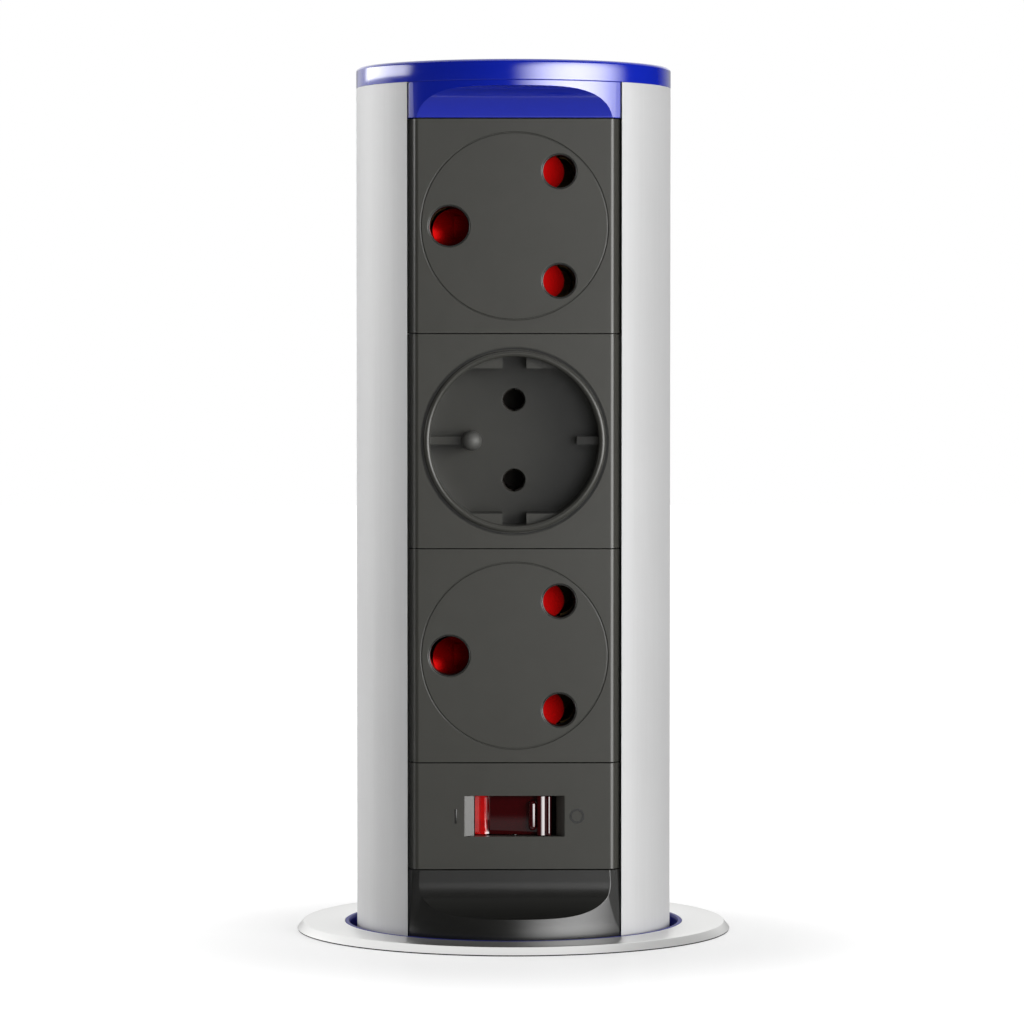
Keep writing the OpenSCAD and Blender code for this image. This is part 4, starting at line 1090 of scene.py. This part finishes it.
def rocker_finish():
    material, tree, output = new_material("red_clear")
    light = group_node(
        tree, painted_glow_group(), Place=-0.0081, Reach=0.0021,
        Dark=(0.032, 0.0006, 0.0012), Lit=(0.5, 0.004, 0.004),
    )
    marks = group_node(tree, hairlines, Scale=160.0, Amount=0.15)
    body = tree.nodes.new("ShaderNodeBsdfPrincipled")
    link(tree, light.outputs["Colour"], body.inputs["Base Color"])
    # Painted glow: near the lamp the rocker's colour is lit and it glows, though it is no lamp.
    link(tree, light.outputs["Glow"], body.inputs["Emission Color"])
    body.inputs["Emission Strength"].default_value = 0.28
    link(tree, add(tree, marks.outputs["Mask"], 0.07), body.inputs["Roughness"])
    body.inputs["IOR"].default_value = 1.85
    link(tree, body.outputs[0], output.inputs["Surface"])
    return material


red_clear = rocker_finish()
pivot_y, switch_z, swing = -23.5, 29.85, 16.0
rocker_h, pin_h, pin_r = 9.1, 12.2, 1.0


def tipped(x, y):
    """Point given with the rocker level, turned to its rest position."""
    turn = Matrix.Rotation(math.radians(-swing / 2), 2)
    spot = turn @ Vector((x, y))
    return spot.x, spot.y + pivot_y


def by_corners(face):
    """Number that orders faces by their three lowest corners."""
    first, second, third = sorted(vert.index for vert in face.verts)[:3]
    return (first * 10000 + second) * 10000 + third


def finished_piece(shape, name, finish, sharp=30.0):
    """Piece from an edited mesh, whose large faces stay evenly shaded beside rounded edges. The
    bevels leave their faces in another order each run, so they are put in a fixed one."""
    mesh = bpy.data.meshes.new(name)
    bmesh.ops.recalc_face_normals(shape, faces=shape.faces)
    shape.verts.index_update()
    shape.faces.sort(key=by_corners)
    shape.to_mesh(mesh)
    shape.free()
    piece = placed(name, mesh, finish, sharp)
    even = piece.modifiers.new("even", "WEIGHTED_NORMAL")
    even.keep_sharp = True
    return piece


def extrusion(name, outline, z_low, z_high, finish, edge, lean=lambda x, y, z: 0.0, steps=1):
    """Outline in X and Y pulled up along Z, with rounded ends; lean moves its points along Y."""
    shape = bmesh.new()
    layers = []
    for k in range(steps + 1):
        z = z_low + (z_high - z_low) * k / steps
        layers.append([
            shape.verts.new((x * MM, (y + lean(x, y, z)) * MM, z * MM)) for x, y in outline
        ])
    around = len(outline)
    for low, high in zip(layers, layers[1:]):
        for k in range(around):
            other = (k + 1) % around
            shape.faces.new((low[k], low[other], high[other], high[k]))
    rims = []
    for layer in (layers[0], layers[-1]):
        rims += shape.faces.new(layer).edges
    bmesh.ops.bevel(
        shape, geom=rims, offset=edge * MM, segments=3, profile=0.5, affect="EDGES",
        clamp_overlap=True,
    )
    return finished_piece(shape, name, finish)


def arc(x, y, r, first, last, steps):
    """Points of an arc between two angles in degrees."""
    angles = [math.radians(first + (last - first) * k / steps) for k in range(steps + 1)]
    return [(x + r * math.cos(a), y + r * math.sin(a)) for a in angles]


rocker_front = (
    [(-9.25, -26.2), (-8.2, -26.5), (-8.12, -26.25), (-8.0, -26.25), (-7.92, -26.58)]
    + [(-7.0, -26.85), (-6.9, -26.35), (-6.45, -26.0), (-5.95, -26.3)]
    + arc(-5.6, -26.3, 0.3, 200, 265, 3)
    + [(5.15, -27.55)]
    + arc(6.15, -27.55, 1.5, 236, 322, 14)
    + arc(7.95, -28.55, 0.42, 215, 355, 8)
)


def front_crown(x, y, z):
    """The front is crowned a little, leans forward towards its top and twists along its length."""
    up = z - switch_z
    if y > -25.3 or not -6.2 < x < 5.2:
        return 0.0
    return 0.003 * x * up - 0.035 * up + 0.013 * up * up


rocker_back = [
    tipped(x, y)
    for x, y in ((8.95, -1), (3, 0.8), (1, 2), (1, 5.5), (-1, 5.5), (-1, 2), (-3, 0.8), (-8.95, -1))
]
rocker_pieces = [
    extrusion(
        "rocker_lever", rocker_front + rocker_back,
        switch_z - rocker_h / 2, switch_z + rocker_h / 2, red_clear, 0.25, front_crown, 14,
    )
]
pin_outline = [on_circle(pin_r, k, 24) for k in range(24)]
pin_outline = [(across, pivot_y + back) for across, back in pin_outline]
for end in (-1, 1):
    near, far = switch_z + end * rocker_h / 2, switch_z + end * pin_h / 2
    rocker_pieces.append(
        extrusion(
            "rocker_pin_upper" if end > 0 else "rocker_pin_lower", pin_outline,
            min(near, far), max(near, far), red_clear, 0.15,
        )
    )


def round_bar(name, x, y, z_low, z_high, r, finish, rings=10, sides=24):
    """Upright bar with round ends."""
    profile = [
        (r * math.sin(math.pi / 2 * k / rings), z_low + r * (1 - math.cos(math.pi / 2 * k / rings)))
        for k in range(rings + 1)
    ]
    profile += [(pr, z_low + z_high - pz) for pr, pz in reversed(profile)]
    points = []
    for pr, pz in profile:
        for k in range(sides):
            across, back = on_circle(pr, k, sides)
            points.append((x + across, y + back, pz))
    return mesh_piece(name, points, ring_faces(len(profile), sides, closed=False), finish)


bar_x, bar_y, bar_h, bar_r = 4.2, -27.75, 7.0, 0.95
rocker_pieces.append(
    round_bar(
        "rocker_bar", bar_x, bar_y, switch_z - bar_h / 2, switch_z + bar_h / 2, bar_r, red_clear
    )
)
for piece in rocker_pieces:
    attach(piece, "rocker")
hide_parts("rocker")


# Rocker lamp: a neon lamp in a small glass tube behind the rocker.
# The glow on the rocker's left end is painted into the rocker's own material.
def lamp_finish():
    material, tree, output = new_material("neon_glass")
    body = tree.nodes.new("ShaderNodeBsdfPrincipled")
    shade = noise(tree, place_node(tree), 900.0)
    warm = tree.nodes.new("ShaderNodeMix")
    warm.data_type = "RGBA"
    link(tree, shade, warm.inputs["Factor"])
    warm.inputs["A"].default_value = (1.0, 0.10, 0.03, 1)
    warm.inputs["B"].default_value = (1.0, 0.28, 0.08, 1)
    link(tree, warm.outputs["Result"], body.inputs["Base Color"])
    link(tree, warm.outputs["Result"], body.inputs["Emission Color"])
    body.inputs["Emission Strength"].default_value = 1.2
    body.inputs["Roughness"].default_value = 0.1
    link(tree, body.outputs[0], output.inputs["Surface"])
    return material


dress(["rocker_lamp"], lamp_finish(), 0.1)


# Switch opening: slanting cheeks on both sides of the rocker.
# They belong to the switch's frame and are moulded in the dark grey plastic of the faces.
opening_h = 9.44
for side, foot_x, foot_y in ((-1, 9.45, -28.35), (1, 9.9, -27.4)):
    cheek = [(11.62, -29.42), (foot_x, foot_y), (foot_x, -26.2), (11.62, -26.2)]
    frame_side = extrusion(
        "switch_cheek_left" if side < 0 else "switch_cheek_right",
        [(side * x, y) for x, y in cheek][::side],
        switch_z - opening_h / 2, switch_z + opening_h / 2, dark_grey_plastic, 0.05,
    )
    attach(frame_side, "column")


# Switch marks: a bar and a ring on either side of the rocker, moulded into the face.
# They are glossy black and stand proud of it by a tenth of a millimetre.
face_y, mark_sunk = -29.504, 0.05
mark_w, mark_h, mark_proud = 0.45, 3.4, 0.1
on_x, off_x = -13.7, 14.6
mark_front, mark_back = face_y - mark_proud, face_y + mark_sunk
stroke = box_piece(
    "mark_on", (on_x - mark_w / 2, mark_front, switch_z - mark_h / 2),
    (on_x + mark_w / 2, mark_back, switch_z + mark_h / 2), gloss_black_with_painted_shade, 0.04,
)
off_r, off_in_r = mark_h / 2, mark_h / 2 - mark_w
ring = front_ring(
    "mark_off", off_x, switch_z,
    [(off_in_r, mark_back), (off_in_r, mark_front), (off_r, mark_front), (off_r, mark_back)],
    gloss_black_with_painted_shade, 48,
)
for mark in (stroke, ring):
    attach(mark, "column")


# Lower end: the dark moulded piece below the switch, with a finger scoop above a round skirt.
# The scoop's rim is rounded.
def rounded_scoop(node, name, finish, skin_r, z_low, z_high, rim=0.45, edge=0.12):
    """Copy of a CAD piece whose arch, where the scoop meets the round front, is rounded. The
    arch is found by its place: on the round skin, or beside the slanted facets."""
    shape = bmesh.new()
    shape.from_mesh(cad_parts[node].data)
    bmesh.ops.remove_doubles(shape, verts=shape.verts, dist=2e-6)
    bmesh.ops.dissolve_limit(
        shape, angle_limit=math.radians(0.5), verts=shape.verts, edges=shape.edges
    )

    def on_arch(vert):
        x, y, z = (c / MM for c in vert.co)
        on_skin = abs(math.hypot(x, y) - skin_r) < 0.03 and y < -29.55 and abs(x) < 23.5
        beside_facet = 21.9 < abs(x) < 22.5 and -30.1 < y < -29.45
        return z_low < z < z_high and (on_skin or beside_facet)

    arch = [
        e
        for e in shape.edges
        if all(on_arch(v) for v in e.verts)
        and len(e.link_faces) == 2
        and e.calc_face_angle(0) > math.radians(15)
    ]
    bmesh.ops.bevel(
        shape, geom=arch, offset=rim * MM, segments=5, profile=0.5, affect="EDGES",
        clamp_overlap=True, offset_type="OFFSET",
    )
    hard = [
        e
        for e in shape.edges
        if len(e.link_faces) == 2 and e.calc_face_angle(0) > math.radians(40)
    ]
    bmesh.ops.bevel(
        shape, geom=hard, offset=edge * MM, segments=2, profile=0.5, affect="EDGES",
        clamp_overlap=True,
    )
    piece = finished_piece(shape, name, finish, 6.0)
    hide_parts(node)
    return piece


skin_r, lower_rim = 37.3, 0.75
lower_end = rounded_scoop(
    "end_scoop", "end_scoop_moulded", gloss_black_with_painted_shade, skin_r, 5.0, 17.3, lower_rim
)
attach(lower_end, "column")


# Cap: a blue see-through plastic disc with polished sides and a rounded rim. It is hollow below
# and covers a zinc plated plate, which four screws hold on the column's top.
blue_clear = blue_plastic(
    "blue_clear", (0.002, 0.013, 0.36), 0.16,
    {"IOR": 1.6, "Coat Weight": 1.0, "Coat Roughness": 0.1, "Coat IOR": 1.6},
)
column_r, column_top, cap_t, axis_r = 37.5, 200.8, 4.8, 0.02
hollow_r, hollow_t = 36.05, 3.6
cap = lathe(
    "cap_disc_moulded",
    [
        (hollow_r, column_top, 0.1),
        (column_r, column_top, 0.15),
        (column_r, column_top + cap_t, 0.8),
        (axis_r, column_top + cap_t, 0),
        (axis_r, column_top + hollow_t, 0),
        (hollow_r, column_top + hollow_t, 0.3),
    ],
    blue_clear,
)
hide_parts("cap_disc")
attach(cap, "column")
dress(["cap_plate"], zinc_steel, 0.1)


# Grip: the blue moulded insert under the cap, with a finger scoop in its front.
# It is what the column is pulled up by.
grip_rim = 0.35
grip = rounded_scoop(
    "grip_insert", "grip_insert_moulded", blue_clear, skin_r, 192.5, 200.0, grip_rim
)
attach(grip, "column")
